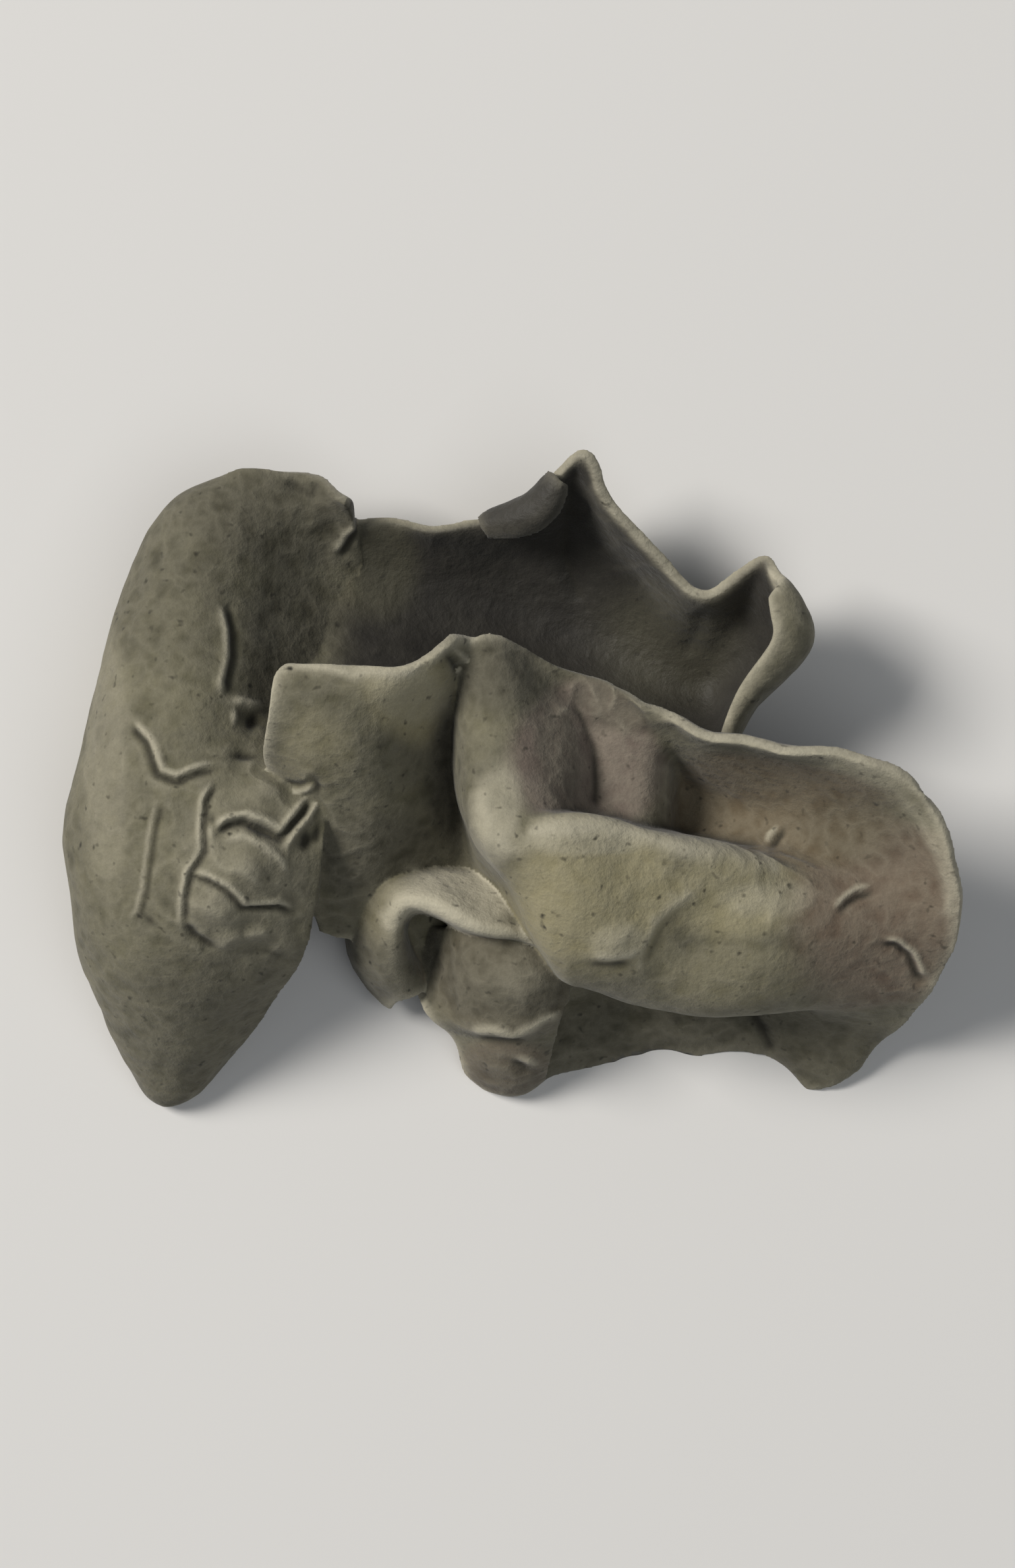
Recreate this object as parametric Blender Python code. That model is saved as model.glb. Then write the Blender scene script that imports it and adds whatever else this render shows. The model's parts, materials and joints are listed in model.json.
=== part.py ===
"""Dried wood ear mushroom, as one fused fruit body lying on its lowest edges.

The mushroom is a leathery sheet that shrank into lobes. Each lobe is a sheet lofted through a net
of hand-set points, given in millimetres as seen from above: X to the right, Y to the top, Z up.
Solidify gives the sheets their thickness, Remesh grows them into one body, and a slab cuts the
edges that touch the table flat at Z = 0.
"""

import bmesh
import bpy
import numpy as np

MM = 0.001
NAME = "wood_ear"

SHEET_THICKNESS = 1.2
RIM_THICKNESS = 0.85
RIM_WIDTH = 1.6
CENTRE_SHIFT = (0.4, 0.05, 0.0)

VOXEL = 0.3
SMOOTH_PASSES = 3
TRIANGLES_KEPT = 0.06
FLOOR_SLAB = (80.0, 60.0, 10.0)

TAN = (0.20, 0.18, 0.12, 1.0)

# Each row is one section across the ear, from its lower tip to its top; left rim to right edge.
EAR = (
    ((-18.7, -16.3, -0.1), (-19.0, -16.8, 0.3), (-18.7, -17.2, 0.6), (-18.1, -17.2, 0.7),
     (-17.4, -16.9, 0.5), (-17.0, -16.4, 0.2)),
    ((-20.3, -13.4, -0.2), (-21.0, -13.2, 2.3), (-19.9, -13.0, 4.4), (-17.8, -12.9, 5.4),
     (-15.6, -12.8, 4.8), (-13.9, -12.7, 2.8)),
    ((-21.2, -8.0, -0.3), (-22.5, -8.0, 4.0), (-21.2, -8.0, 8.0), (-18.0, -8.0, 10.0),
     (-14.4, -8.0, 9.6), (-11.2, -8.4, 7.2)),
    ((-21.4, -2.0, -0.3), (-22.9, -2.0, 4.4), (-21.6, -2.0, 8.9), (-18.0, -2.0, 11.4),
     (-14.0, -2.0, 11.6), (-10.0, -2.0, 9.8)),
    ((-20.6, 4.0, 0.0), (-21.7, 4.0, 4.6), (-20.3, 4.0, 9.0), (-17.2, 4.0, 10.8),
     (-13.6, 4.0, 8.6), (-9.8, 4.0, 5.2)),
    ((-18.9, 9.3, 0.9), (-20.1, 9.4, 4.8), (-18.7, 9.6, 8.2), (-16.0, 9.9, 9.0),
     (-12.6, 10.0, 6.4), (-8.6, 9.8, 3.4)),
    ((-17.3, 13.0, 3.6), (-18.0, 13.4, 5.6), (-16.9, 13.9, 7.4), (-14.6, 14.2, 7.8),
     (-11.8, 14.0, 6.6), (-8.4, 13.4, 5.4)),
    ((-15.6, 15.4, 5.2), (-15.8, 15.6, 6.0), (-15.0, 15.9, 6.9), (-13.6, 16.1, 7.2),
     (-11.4, 15.8, 7.2), (-8.6, 14.8, 7.4)),
)

# Back rim, wall, floor, under the lip, back of the lip, lip, belly top, belly, brow, tuck, hem.
FRILL = (
    ((-11.5, 5.6, 13.4), (-12.1, 5.15, 14.0), (-12.35, 3.8, 13.9), (-12.65, 2.4, 12.8),
     (-12.75, 1.2, 11.2), (-12.2, 0.0, 10.2), (-11.6, -1.4, 9.4), (-11.1, -3.0, 8.6),
     (-10.9, -4.8, 7.6), (-10.7, -6.3, 6.5), (-10.3, -7.6, 5.2)),
    ((-9.4, 5.8, 14.2), (-9.7, 4.9, 14.4), (-9.8, 3.5, 14.0), (-9.5, 2.0, 13.0),
     (-9.1, 0.4, 11.7), (-8.7, -1.2, 10.5), (-8.3, -2.8, 9.3), (-7.9, -4.2, 8.0),
     (-7.6, -5.6, 6.7), (-7.4, -7.2, 5.2), (-7.2, -8.6, 4.0)),
    ((-6.2, 5.7, 14.2), (-6.6, 4.7, 14.0), (-6.8, 3.4, 13.0), (-6.6, 1.6, 11.7),
     (-6.2, 0.0, 10.3), (-5.9, -1.6, 8.7), (-5.7, -3.2, 7.2), (-5.6, -4.6, 5.9),
     (-5.6, -6.0, 4.8), (-5.6, -7.8, 3.8), (-5.6, -9.6, 3.0)),
    ((-3.2, 6.9, 13.8), (-3.3, 5.8, 12.0), (-3.3, 4.0, 9.0), (-3.1, 1.8, 6.9),
     (-2.9, -0.2, 5.9), (-2.6, -2.0, 5.3), (-2.3, -3.8, 4.8), (-2.1, -5.2, 4.4),
     (-2.2, -7.2, 3.8), (-2.6, -9.4, 3.0), (-3.4, -11.6, 2.0)),
    ((-2.3, 7.2, 12.4), (-2.5, 6.4, 12.0), (-2.5, 4.4, 11.0), (-2.45, 1.9, 11.2),
     (-2.35, -0.4, 11.8), (-1.9, -2.3, 12.2), (-1.3, -3.6, 11.2), (0.1, -5.4, 9.6),
     (1.2, -7.8, 8.2), (0.9, -9.2, 4.8), (-1.8, -14.6, 0.6)),
    ((-0.9, 7.2, 11.8), (-1.0, 6.2, 12.4), (-1.0, 4.2, 12.4), (-1.1, 1.8, 12.8),
     (-1.1, -0.8, 13.5), (-0.8, -2.7, 14.2), (-0.1, -4.2, 13.6), (1.2, -6.7, 12.0),
     (2.4, -9.6, 9.4), (2.1, -9.9, 4.6), (0.4, -16.4, -0.2)),
    ((1.4, 6.1, 10.6), (1.2, 4.8, 10.8), (1.0, 2.8, 11.6), (0.9, 0.4, 12.2),
     (1.1, -1.75, 13.0), (1.4, -2.4, 14.4), (1.6, -3.6, 14.4), (2.4, -6.2, 13.2),
     (3.4, -10.0, 9.6), (3.4, -9.8, 4.4), (1.8, -15.8, -0.2)),
    ((4.8, 4.8, 10.6), (4.4, 3.5, 10.0), (4.2, 1.6, 9.4), (4.2, -0.6, 9.3),
     (4.3, -1.95, 10.4), (4.3, -2.35, 13.6), (4.5, -3.5, 13.5), (4.9, -6.2, 12.9),
     (5.6, -10.8, 8.6), (5.4, -9.9, 3.6), (5.0, -15.1, -0.2)),
    ((7.1, 3.6, 11.4), (6.9, 2.4, 9.9), (6.8, 0.9, 9.0), (6.7, -1.1, 8.8),
     (6.6, -2.45, 9.8), (6.5, -2.85, 12.95), (6.7, -4.0, 12.8), (7.0, -6.7, 12.1),
     (7.3, -11.3, 8.2), (7.2, -10.3, 3.4), (7.0, -14.9, -0.2)),
    ((8.2, 3.1, 11.8), (8.1, 2.0, 8.8), (8.0, 0.6, 6.1), (7.9, -1.4, 5.7),
     (7.8, -2.8, 7.2), (7.7, -3.15, 12.5), (7.8, -4.3, 12.35), (8.0, -7.0, 11.7),
     (8.2, -11.5, 8.0), (8.1, -10.5, 3.3), (8.0, -14.8, -0.2)),
    ((9.8, 2.4, 12.3), (9.5, 1.4, 8.4), (9.3, 0.1, 5.4), (9.2, -1.7, 5.0),
     (9.1, -3.1, 6.6), (9.0, -3.45, 12.0), (9.1, -4.6, 11.9), (9.3, -7.3, 11.2),
     (9.5, -11.7, 7.8), (9.4, -10.7, 3.2), (9.3, -14.7, -0.2)),
    ((14.2, 1.8, 13.2), (13.9, 0.8, 9.8), (13.7, -0.7, 7.2), (13.5, -2.4, 6.6),
     (13.3, -3.9, 7.8), (13.2, -4.6, 10.1), (13.3, -5.8, 10.5), (13.5, -8.2, 10.2),
     (13.6, -11.4, 7.2), (13.4, -10.9, 3.4), (13.2, -14.4, -0.2)),
    ((18.6, 0.6, 13.3), (18.5, -0.5, 11.2), (18.4, -1.8, 9.6), (18.2, -3.2, 8.9),
     (18.1, -4.4, 8.8), (18.0, -5.5, 9.1), (17.9, -6.6, 9.4), (17.8, -8.4, 9.2),
     (17.4, -11.0, 6.8), (16.4, -12.4, 3.4), (15.4, -16.4, -0.2)),
    ((20.5, -0.7, 12.6), (21.3, -1.8, 12.3), (21.9, -2.9, 12.0), (22.3, -4.0, 11.5),
     (22.6, -5.1, 11.0), (22.7, -6.2, 10.4), (22.6, -7.4, 9.6), (22.3, -8.8, 8.5),
     (21.5, -10.4, 6.8), (20.4, -12.4, 4.0), (18.2, -15.0, 0.8)),
)

# Each row is one section across the crown cup, front to back; the last ones curl over.
CROWN = (
    ((-11.0, 4.2, 6.9), (-10.9, 7.0, 5.2), (-10.8, 9.4, 4.4), (-10.6, 11.4, 4.4),
     (-10.2, 13.2, 5.2)),
    ((-6.4, 2.0, 8.2), (-6.6, 5.2, 5.0), (-6.6, 8.6, 3.2), (-6.6, 11.4, 3.4),
     (-6.6, 13.6, 5.2)),
    ((-1.6, 0.6, 6.8), (-1.4, 4.6, 3.0), (-1.2, 8.6, 1.0), (-1.0, 11.4, 2.2),
     (-1.5, 13.5, 5.4)),
    ((1.6, 0.6, 5.8), (1.7, 4.6, 1.6), (1.8, 8.8, 0.6), (1.7, 12.4, 3.0),
     (1.3, 15.1, 6.9)),
    ((3.4, 0.6, 5.4), (3.5, 4.8, 1.0), (3.6, 9.2, 0.7), (3.6, 13.4, 4.0),
     (3.4, 16.8, 8.8)),
    ((4.9, 0.7, 5.0), (5.0, 4.6, 0.7), (5.2, 8.6, 0.6), (5.2, 12.0, 3.4),
     (4.7, 14.7, 7.9)),
    ((6.6, 0.9, 4.6), (6.8, 4.2, 0.5), (7.1, 7.8, 0.5), (7.3, 10.4, 2.9),
     (7.0, 12.3, 7.0)),
    ((8.4, 1.1, 4.2), (8.8, 4.0, 0.4), (9.2, 6.8, 0.6), (9.6, 8.6, 3.0),
     (9.8, 9.8, 6.3)),
    ((10.6, 1.4, 3.8), (11.0, 4.0, 1.0), (11.6, 6.6, 1.4), (12.1, 9.2, 3.8),
     (12.3, 11.4, 7.2)),
    ((11.0, 1.2, 5.4), (12.3, 4.1, 6.0), (14.6, 6.8, 6.8), (14.3, 8.9, 7.6),
     (13.4, 10.9, 8.0)),
    ((10.8, 1.5, 7.0), (12.0, 4.4, 8.4), (14.2, 7.0, 9.3), (14.0, 8.7, 9.6),
     (13.3, 10.0, 9.3)),
    ((10.4, 1.9, 7.4), (11.4, 4.8, 8.6), (12.9, 7.0, 9.5), (13.0, 8.2, 9.7),
     (12.9, 9.3, 9.5)),
)

# The small roll at the crown's back edge: attached edge, top, free edge, tucked end.
CUFF = (
    ((-1.7, 13.3, 5.5), (-1.6, 13.25, 5.8), (-1.5, 13.2, 5.7), (-1.45, 13.15, 5.5)),
    ((-0.8, 13.95, 5.9), (-0.7, 13.75, 6.6), (-0.5, 13.3, 6.7), (-0.4, 13.15, 6.2)),
    ((0.5, 14.55, 6.6), (0.6, 14.3, 7.4), (0.8, 13.6, 7.5), (0.85, 13.45, 6.9)),
    ((1.35, 15.15, 7.2), (1.5, 14.95, 8.0), (1.75, 14.4, 8.1), (1.8, 14.25, 7.5)),
    ((2.0, 15.75, 7.9), (2.1, 15.6, 8.3), (2.2, 15.4, 8.3), (2.25, 15.3, 8.0)),
)

# The fold round the scoop, from its lower left to the belly: foot, flank, fold, inner side, tuck.
HOOD = (
    ((-6.6, -12.0, 1.4), (-6.2, -11.5, 3.0), (-5.6, -11.2, 3.8), (-5.3, -11.1, 3.8),
     (-5.0, -11.0, 3.2), (-4.7, -10.9, 2.2)),
    ((-8.6, -9.8, 2.2), (-8.0, -9.7, 4.2), (-6.7, -9.6, 5.7), (-6.2, -9.5, 5.8),
     (-5.8, -9.45, 4.9), (-5.5, -9.4, 2.8)),
    ((-8.6, -7.0, 3.6), (-8.0, -7.2, 5.6), (-6.9, -7.5, 7.2), (-6.4, -7.7, 7.5),
     (-6.2, -7.8, 6.4), (-6.0, -7.9, 3.2)),
    ((-7.2, -4.9, 4.6), (-6.9, -5.4, 6.6), (-6.2, -6.05, 8.0), (-5.9, -6.4, 8.3),
     (-5.75, -6.6, 7.2), (-5.6, -6.8, 3.6)),
    ((-5.2, -4.6, 4.4), (-5.1, -5.2, 6.8), (-4.95, -5.85, 8.3), (-4.9, -6.2, 8.6),
     (-4.85, -6.42, 7.5), (-4.8, -6.6, 4.0)),
    ((-3.8, -4.6, 4.4), (-3.7, -5.4, 6.8), (-3.55, -6.3, 8.5), (-3.5, -6.7, 8.8),
     (-3.5, -6.92, 7.7), (-3.5, -7.1, 4.6)),
    ((-2.2, -4.8, 4.2), (-2.1, -5.7, 6.6), (-1.95, -7.1, 8.5), (-1.9, -7.5, 8.8),
     (-1.9, -7.72, 7.8), (-2.0, -7.9, 5.4)),
    ((-0.7, -4.8, 4.6), (-0.4, -5.9, 6.6), (0.1, -7.55, 8.2), (0.2, -7.95, 8.4),
     (0.2, -8.17, 7.5), (0.1, -8.35, 5.6)),
    ((0.9, -5.8, 5.2), (1.1, -6.9, 6.6), (1.4, -8.45, 7.5), (1.5, -8.85, 7.6),
     (1.55, -9.05, 6.9), (1.6, -9.2, 5.4)),
)

# The scoop's floor and the tip below it; each row runs from left to right, from the fold down.
TONGUE = (
    ((-4.9, -7.6, 2.8), (-3.7, -7.7, 4.4), (-1.7, -7.8, 6.2), (0.6, -7.9, 6.6), (2.1, -8.2, 6.2)),
    ((-5.4, -9.0, 2.6), (-3.8, -9.0, 4.2), (-1.9, -9.1, 6.6), (0.5, -9.2, 7.2), (2.3, -9.3, 6.2)),
    ((-5.4, -10.3, 2.6), (-3.9, -10.4, 4.0), (-1.9, -10.5, 6.6), (0.5, -10.6, 7.2), (2.5, -10.6, 5.9)),
    ((-5.0, -11.3, 2.9), (-3.6, -11.6, 3.9), (-1.8, -11.8, 5.9), (0.4, -11.8, 6.5), (2.4, -11.4, 5.5)),
    ((-4.3, -12.2, 2.9), (-3.3, -12.4, 3.9), (-1.6, -12.6, 5.5), (0.0, -12.7, 6.0), (2.1, -11.9, 5.5)),
    ((-3.8, -12.9, 2.2), (-3.0, -13.1, 2.9), (-1.4, -13.2, 4.2), (0.2, -13.3, 4.6), (1.9, -12.8, 4.3)),
    ((-3.0, -14.2, 1.2), (-2.2, -14.6, 2.0), (-0.9, -14.9, 2.9), (0.4, -14.9, 3.1), (1.6, -14.6, 2.6)),
    ((-2.3, -15.6, -0.2), (-1.6, -16.0, 0.1), (-0.6, -16.5, 0.2), (0.3, -16.6, 0.2), (1.3, -15.9, 0.0)),
)

KNOT = (
    ((-13.6, -5.4, 9.2), (-12.2, -6.0, 8.4), (-10.8, -6.2, 7.0)),
    ((-14.0, -2.6, 10.4), (-12.2, -2.6, 9.8), (-10.4, -2.4, 8.8)),
    ((-13.8, 0.4, 10.0), (-12.2, 0.6, 9.8), (-10.0, 0.6, 10.0)),
)


def clear_scene():
    for obj in list(bpy.data.objects):
        bpy.data.objects.remove(obj)


def spline_weights(knots, samples):
    """Rows that blend one point for each knot into points on a natural cubic spline."""
    count = len(knots)
    gap = np.diff(knots)
    bands = np.eye(count)
    pulls = np.zeros((count, count))
    for i in range(1, count - 1):
        before, after = gap[i - 1], gap[i]
        bands[i, i - 1 : i + 2] = (before, 2 * (before + after), after)
        pulls[i, i - 1 : i + 2] = (6 / before, -6 / before - 6 / after, 6 / after)
    bends = np.linalg.solve(bands, pulls)
    place = np.linspace(knots[0], knots[-1], samples)
    span = np.clip(np.searchsorted(knots, place, side="right") - 1, 0, count - 2)
    far = ((place - knots[span]) / gap[span])[:, None]
    near = 1 - far
    points = np.eye(count)
    bent = (near**3 - near) * bends[span] + (far**3 - far) * bends[span + 1]
    return near * points[span] + far * points[span + 1] + bent * (gap[span] ** 2 / 6)[:, None]


def knots(net, axis):
    """Spline parameters: the steps are the square roots of the mean distances between sections."""
    steps = np.linalg.norm(np.diff(net, axis=axis), axis=2).mean(1 - axis)
    return np.concatenate([[0], np.sqrt(steps).cumsum()])


def loft(net, rows, columns):
    """A grid of rows x columns points on the smooth sheet through the net."""
    net = np.array(net)
    across = spline_weights(knots(net, 1), columns)
    along = spline_weights(knots(net, 0), rows)
    return np.einsum("ai,ijk,bj->abk", along, net, across)


def rim_weights(grid, free_sides):
    """0 on the free edges (first row, last row, first column, last column) and 1 a rim width in."""
    steps_down = np.linalg.norm(np.diff(grid, axis=0), axis=2)
    steps_across = np.linalg.norm(np.diff(grid, axis=1), axis=2)
    down = np.vstack([np.zeros((1, grid.shape[1])), np.cumsum(steps_down, axis=0)])
    across = np.hstack([np.zeros((grid.shape[0], 1)), np.cumsum(steps_across, axis=1)])
    distances = (down, down[-1:] - down, across, across[:, -1:] - across)
    nearest = np.full(grid.shape[:2], np.inf)
    for distance, free in zip(distances, free_sides):
        if free:
            nearest = np.minimum(nearest, distance)
    return np.clip(nearest / RIM_WIDTH, 0, 1)


def add_sheet(mesh, deform, grid, weights):
    """Adds the grid's faces to the bmesh."""
    rows, columns = grid.shape[:2]
    verts = [[mesh.verts.new(point) for point in row] for row in grid]
    for row, row_weights in zip(verts, weights):
        for vert, weight in zip(row, row_weights):
            vert[deform][0] = float(weight)
    for i in range(rows - 1):
        for j in range(columns - 1):
            mesh.faces.new((verts[i][j], verts[i][j + 1], verts[i + 1][j + 1], verts[i + 1][j]))


def build_sheets():
    """One mesh object that holds every lobe as a bare sheet, with the rims in a vertex group."""
    mesh = bmesh.new()
    deform = mesh.verts.layers.deform.verify()
    lobes = (
        (loft(EAR, 54, 44), (True, True, True, False)),
        (loft(FRILL, 84, 70), (True, True, True, True)),
        (loft(CROWN, 60, 42), (False, True, False, True)),
        (loft(CUFF, 20, 14), (True, True, False, True)),
        (loft(HOOD, 44, 30), (True, False, False, False)),
        (loft(TONGUE, 34, 26), (False, True, True, False)),
        (loft(KNOT, 12, 12), (False, False, False, False)),
    )
    for grid, free_sides in lobes:
        weights = rim_weights(grid, free_sides) if any(free_sides) else np.ones(grid.shape[:2])
        add_sheet(mesh, deform, grid, weights)
    bmesh.ops.translate(mesh, verts=mesh.verts, vec=CENTRE_SHIFT)
    bmesh.ops.scale(mesh, verts=mesh.verts, vec=(MM, MM, MM))
    data = bpy.data.meshes.new(NAME)
    mesh.to_mesh(data)
    mesh.free()
    data.shade_smooth()
    body = bpy.data.objects.new(NAME, data)
    body.vertex_groups.new(name="inner")
    bpy.context.scene.collection.objects.link(body)
    return body


def build_floor_slab():
    """A hidden cutter whose top is the table."""
    width, length, depth = FLOOR_SLAB
    mesh = bmesh.new()
    bmesh.ops.create_cube(mesh, size=1)
    bmesh.ops.scale(mesh, verts=mesh.verts, vec=(width * MM, length * MM, depth * MM))
    bmesh.ops.translate(mesh, verts=mesh.verts, vec=(0, 0, -depth / 2 * MM))
    data = bpy.data.meshes.new("floor_slab")
    mesh.to_mesh(data)
    mesh.free()
    slab = bpy.data.objects.new("floor_slab", data)
    slab.hide_render = True
    slab.display_type = "WIRE"
    bpy.context.scene.collection.objects.link(slab)
    return slab


def grow_into_one(body, slab):
    """Thickness, one closed skin, a light surface, and the flat resting edges."""
    thickness = body.modifiers.new("thickness", "SOLIDIFY")
    thickness.thickness = SHEET_THICKNESS * MM
    thickness.offset = 0
    thickness.vertex_group = "inner"
    thickness.thickness_vertex_group = RIM_THICKNESS / SHEET_THICKNESS
    skin = body.modifiers.new("skin", "REMESH")
    skin.mode = "VOXEL"
    skin.voxel_size = VOXEL * MM
    skin.use_smooth_shade = True
    soften = body.modifiers.new("soften", "SMOOTH")
    soften.factor = 0.5
    soften.iterations = SMOOTH_PASSES
    lighten = body.modifiers.new("lighten", "DECIMATE")
    lighten.ratio = TRIANGLES_KEPT
    rest = body.modifiers.new("rest", "BOOLEAN")
    rest.operation = "DIFFERENCE"
    rest.solver = "EXACT"
    rest.object = slab


def give_material(body):
    material = bpy.data.materials.new("dried_flesh")
    material.use_nodes = True
    shader = material.node_tree.nodes["Principled BSDF"]
    shader.inputs["Base Color"].default_value = TAN
    shader.inputs["Roughness"].default_value = 0.85
    shader.inputs["Metallic"].default_value = 0.0
    body.data.materials.append(material)


def main():
    clear_scene()
    body = build_sheets()
    give_material(body)
    grow_into_one(body, build_floor_slab())


main()
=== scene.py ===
"""Looks of a dried wood ear mushroom: one fused, leathery fruit body and the studio around it.

The mushroom is a sheet that shrank into lobes while it dried. Every lobe is lofted through given
sections, wrinkled, thickened towards its two sides and then grown together with the others into one
skin. All tables here are in millimetres, seen from above: X to the right, Y to the top, Z up.
A row of a net is one section of the sheet, and its points are the stations along that section.
"""

import json
import logging
import math
from dataclasses import dataclass
from enum import Enum

import bmesh
import bpy
import numpy as np
from numpy.typing import NDArray
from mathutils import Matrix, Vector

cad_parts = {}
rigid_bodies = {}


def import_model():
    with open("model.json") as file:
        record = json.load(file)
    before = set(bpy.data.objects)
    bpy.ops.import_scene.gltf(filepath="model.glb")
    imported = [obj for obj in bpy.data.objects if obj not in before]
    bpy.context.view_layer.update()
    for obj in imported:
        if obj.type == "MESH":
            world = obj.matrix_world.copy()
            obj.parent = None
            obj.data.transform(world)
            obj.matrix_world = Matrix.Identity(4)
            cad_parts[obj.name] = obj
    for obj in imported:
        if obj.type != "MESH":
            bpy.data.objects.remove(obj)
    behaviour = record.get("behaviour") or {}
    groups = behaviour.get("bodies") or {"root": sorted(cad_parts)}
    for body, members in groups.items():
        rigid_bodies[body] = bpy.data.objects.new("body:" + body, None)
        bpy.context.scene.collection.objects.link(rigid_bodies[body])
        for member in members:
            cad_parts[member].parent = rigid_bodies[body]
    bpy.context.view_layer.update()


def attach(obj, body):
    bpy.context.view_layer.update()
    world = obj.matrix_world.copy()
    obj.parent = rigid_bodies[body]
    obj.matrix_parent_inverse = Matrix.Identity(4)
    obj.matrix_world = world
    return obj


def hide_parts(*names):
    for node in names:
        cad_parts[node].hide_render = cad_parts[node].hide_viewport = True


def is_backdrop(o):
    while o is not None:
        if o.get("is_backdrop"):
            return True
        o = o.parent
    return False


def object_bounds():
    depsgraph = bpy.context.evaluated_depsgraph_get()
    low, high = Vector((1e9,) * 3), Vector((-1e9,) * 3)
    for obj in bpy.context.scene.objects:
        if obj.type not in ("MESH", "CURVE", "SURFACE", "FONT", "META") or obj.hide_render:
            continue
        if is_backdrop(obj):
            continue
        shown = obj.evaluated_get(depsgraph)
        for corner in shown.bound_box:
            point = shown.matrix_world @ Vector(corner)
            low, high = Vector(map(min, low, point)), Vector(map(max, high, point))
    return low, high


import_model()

Array = NDArray[np.float64]
Point = tuple[float, float, float]
Spot = tuple[float, float]
Colour = tuple[float, float, float]
Net = tuple[tuple[Point, ...], ...]

MM = 0.001
NODE = "wood_ear"
BODY = "root"
CENTRE_SHIFT = (0.4, 0.05, 0.0)  # from the tables' origin to the middle of the body's box, in mm
LOG = logging.getLogger("wood_ear")


class Channel(Enum):
    """What each channel of the looks attributes holds, as (attribute, place in its colour)."""

    INNER = ("looks_form", 0)
    RIM = ("looks_form", 1)
    # pale crests: partly pale tone, partly painted highlight, from the relief and the pale crease paint
    CREST = ("looks_form", 2)
    # painted shade in hollows and grooves, from the relief and the dark crease paint
    HOLLOW = ("looks_form", 3)
    # brown tone, darkened as painted shade in the bowl, the scoop and the tongue
    BROWN = ("looks_tint", 0)
    # purple-grey tone, lightened as painted light
    PURPLE = ("looks_tint", 1)
    # olive tone, lightened as painted light where light falls, on both sides
    OLIVE = ("looks_tint", 2)
    ROSY = ("looks_tint", 3)
    # painted shade: darkens valleys, troughs, backs and undersides where shade falls
    DUSK = ("looks_tone", 0)
    # painted light: lightens the sides and bands that face the light
    PALE = ("looks_tone", 1)
    DULL_RIM = ("looks_tone", 2)
    CRUMPLE = ("looks_tone", 3)


ATTRIBUTES = ("looks_form", "looks_tint", "looks_tone")


class Facing(Enum):
    """Which side of the sheet looks up: the velvety outer one or the dark inner one."""

    OUTER = "outer"
    INNER = "inner"


# --------------------------------------------------------------------------- sections of the lobes

# Each row crosses the ear from its left rim over the back to its right edge; tip first, top end last.
EAR: Net = (
    ((-18.7, -16.3, -0.1), (-19.0, -16.8, 0.3), (-18.7, -17.2, 0.6), (-18.1, -17.2, 0.7),
     (-17.4, -16.9, 0.5), (-17.0, -16.4, 0.2)),
    ((-20.3, -13.4, -0.2), (-21.0, -13.2, 2.3), (-19.9, -13.0, 4.4), (-17.8, -12.9, 5.4),
     (-15.6, -12.8, 4.8), (-13.9, -12.7, 2.8)),
    ((-21.2, -8.0, -0.3), (-22.5, -8.0, 4.0), (-21.2, -8.0, 8.0), (-18.0, -8.0, 10.0),
     (-14.4, -8.0, 9.6), (-11.2, -8.4, 7.2)),
    ((-21.4, -2.0, -0.3), (-22.9, -2.0, 4.4), (-21.6, -2.0, 8.9), (-18.0, -2.0, 11.4),
     (-14.0, -2.0, 11.6), (-10.0, -2.0, 9.8)),
    ((-20.6, 4.0, 0.0), (-21.7, 4.0, 4.6), (-20.3, 4.0, 9.0), (-17.2, 4.0, 10.8),
     (-13.6, 4.0, 8.6), (-9.8, 4.0, 5.2)),
    ((-18.9, 9.3, 0.9), (-20.1, 9.4, 4.8), (-18.7, 9.6, 8.2), (-16.0, 9.9, 9.0),
     (-12.6, 10.0, 6.4), (-8.6, 9.8, 3.4)),
    ((-17.3, 13.0, 3.6), (-18.0, 13.4, 5.6), (-16.9, 13.9, 7.4), (-14.6, 14.2, 7.8),
     (-11.8, 14.0, 6.6), (-8.4, 13.4, 5.4)),
    ((-15.6, 15.4, 5.2), (-15.8, 15.6, 6.0), (-15.0, 15.9, 6.9), (-13.6, 16.1, 7.2),
     (-11.4, 15.8, 7.2), (-8.6, 14.8, 7.4)),
)

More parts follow.
